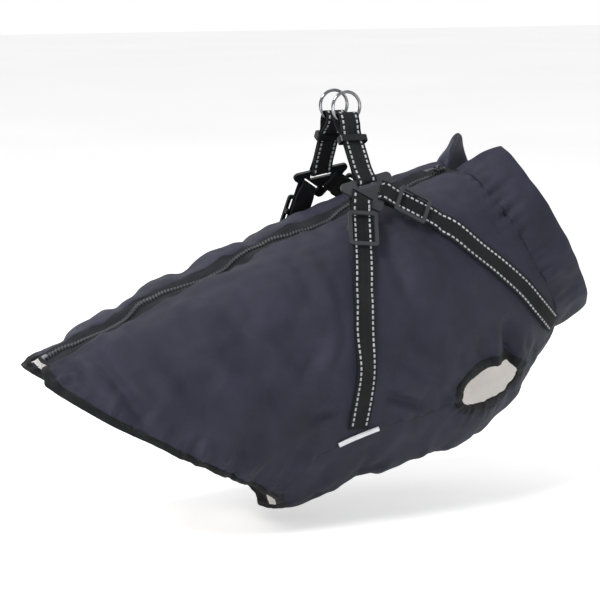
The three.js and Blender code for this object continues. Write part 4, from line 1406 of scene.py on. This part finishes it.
def spun_ring(node: str, sizes: RingSizes) -> bpy.types.Object:
    """Turns a smooth ring in the place of its solid.

    Args:
        node: The ring's solid, which is also its body.
        sizes: How it is drawn.

    Returns:
        The piece.
    """
    shape = merged_copy(node)
    points = np.array([vertex.co for vertex in shape.verts])
    shape.free()
    centre = points.mean(axis=0)
    _, _, axes = np.linalg.svd(points - centre)
    axis = Vector(axes[2])
    start = Vector(axes[0])
    radius = float(np.abs((points - centre) @ axes[0]).max()) - sizes.wire
    ring = bmesh.new()
    across = Matrix((start, axis, start.cross(axis))).transposed().to_4x4()
    across.translation = Vector(centre) + start * radius
    circle = bmesh.ops.create_circle(
        ring, segments=sizes.round_steps, radius=sizes.wire, cap_ends=False, matrix=across
    )
    edges = [edge for edge in ring.edges]
    bmesh.ops.spin(
        ring, geom=[*circle["verts"], *edges], cent=Vector(centre), axis=axis,
        angle=2 * math.pi, steps=sizes.ring_steps, use_merge=True,
    )
    bmesh.ops.recalc_face_normals(ring, faces=ring.faces)
    made = new_piece(node + "_wire", ring, [CHROME])
    finish_piece(made, "chrome", node)
    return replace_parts(made, node)


# Stage


@dataclass(frozen=True)
class Camera:
    """Where the photograph was taken from."""

    place: tuple[float, float, float] = (-0.8095, -1.5957, 0.2237)
    towards: tuple[float, float, float] = (0.4162, 0.8925, -0.1736)
    lens: float = 114.9
    sensor: float = 36.0


@dataclass(frozen=True)
class Lamp:
    """A large soft light that looks at the coat."""

    name: str
    place: tuple[float, float, float]
    size: float
    power: float


LAMPS = [
    Lamp("Key", (-1.7, -0.6, 2.0), 1.0, 58),
    Lamp("Top", (0.5, 0.5, 2.2), 1.2, 6),
    Lamp("Right", (1.9, -1.4, 0.5), 1.0, 4),
    Lamp("Front", (-0.3, -2.2, -0.1), 0.6, 9),
    Lamp("Back", (-0.4, 2.2, 1.0), 1.4, 5),
]
FLOOR_HEIGHT = -0.2925
WORLD_LIGHT = 0.47
WORLD_SEEN = 1.0
FLOOR_GLOW = 0.5
TARGET = Vector((-0.06, 0.0, -0.10))


def make_stage(camera: Camera) -> None:
    """Sets the camera, the lamps, the floor and the white surroundings.

    Args:
        camera: Where the camera stands.
    """
    scene = bpy.context.scene
    lens = bpy.data.cameras.new("Camera")
    lens.lens = camera.lens
    lens.sensor_width = camera.sensor
    lens.clip_start, lens.clip_end = 0.05, 60
    eye = bpy.data.objects.new("Camera", lens)
    eye.location = camera.place
    eye.rotation_mode = "QUATERNION"
    eye.rotation_quaternion = Vector(camera.towards).to_track_quat("-Z", "Y")
    scene.collection.objects.link(eye)
    scene.camera = eye
    for lamp in LAMPS:
        light = bpy.data.lights.new(lamp.name, "AREA")
        light.shape = "DISK"
        light.size = lamp.size
        light.energy = lamp.power
        holder = bpy.data.objects.new(lamp.name, light)
        holder.location = lamp.place
        holder.rotation_mode = "QUATERNION"
        holder.rotation_quaternion = (TARGET - Vector(lamp.place)).to_track_quat("-Z", "Y")
        scene.collection.objects.link(holder)
    world = bpy.data.worlds.new("White surroundings")
    world.use_nodes = True
    nodes = Nodes(world.node_tree)
    background = world.node_tree.nodes["Background"]
    looking = nodes.add("ShaderNodeLightPath").outputs["Is Camera Ray"]
    extra = nodes.maths("MULTIPLY", looking, WORLD_SEEN - WORLD_LIGHT)
    strength = nodes.maths("ADD", extra, WORLD_LIGHT)
    background.inputs["Color"].default_value = (1, 1, 1, 1)
    world.node_tree.links.new(strength, background.inputs["Strength"])
    scene.world = world
    scene.view_settings.view_transform = "Standard"
    floor = bmesh.new()
    lift = Matrix.Translation((0, 0, FLOOR_HEIGHT))
    bmesh.ops.create_grid(floor, x_segments=1, y_segments=1, size=12.0, matrix=lift)
    paper = Finish(
        "Pale paper", srgb(238, 238, 238), srgb(246, 246, 246), 0.9, Texture.GRAIN, 0.004, 0.00002,
        patch=0.8, specular=0.1,
    )
    made = new_piece("Floor", floor, [paper])
    nodes = Nodes(made.data.materials[0].node_tree)
    shader = nodes.tree.nodes["Principled BSDF"]
    looking = nodes.add("ShaderNodeLightPath").outputs["Is Camera Ray"]
    glow = nodes.maths("MULTIPLY", looking, FLOOR_GLOW)
    shader.inputs["Emission Color"].default_value = (1, 1, 1, 1)
    nodes.tree.links.new(glow, shader.inputs["Emission Strength"])


def main() -> None:
    """Makes every piece and the stage."""
    logging.basicConfig(level=logging.INFO, format="%(message)s")
    drape = Drape(DrapeSizes())
    panels = {cut.node: ClothPiece(cut, drape).object for cut in CUTS}
    for name in SIDES:
        Zip(name, ZipSizes(), drape)
    for cut in STRAPS:
        Strap(cut, RibbonSizes(), DashSizes())
    for node in PANELS:
        Stitches(node, panels[node], StitchSizes())
    for part in HARD_PARTS:
        soften(part)
    for node in ("ring_near", "ring_far"):
        spun_ring(node, RingSizes())
    make_stage(Camera())


if __name__ == "__main__":
    main()
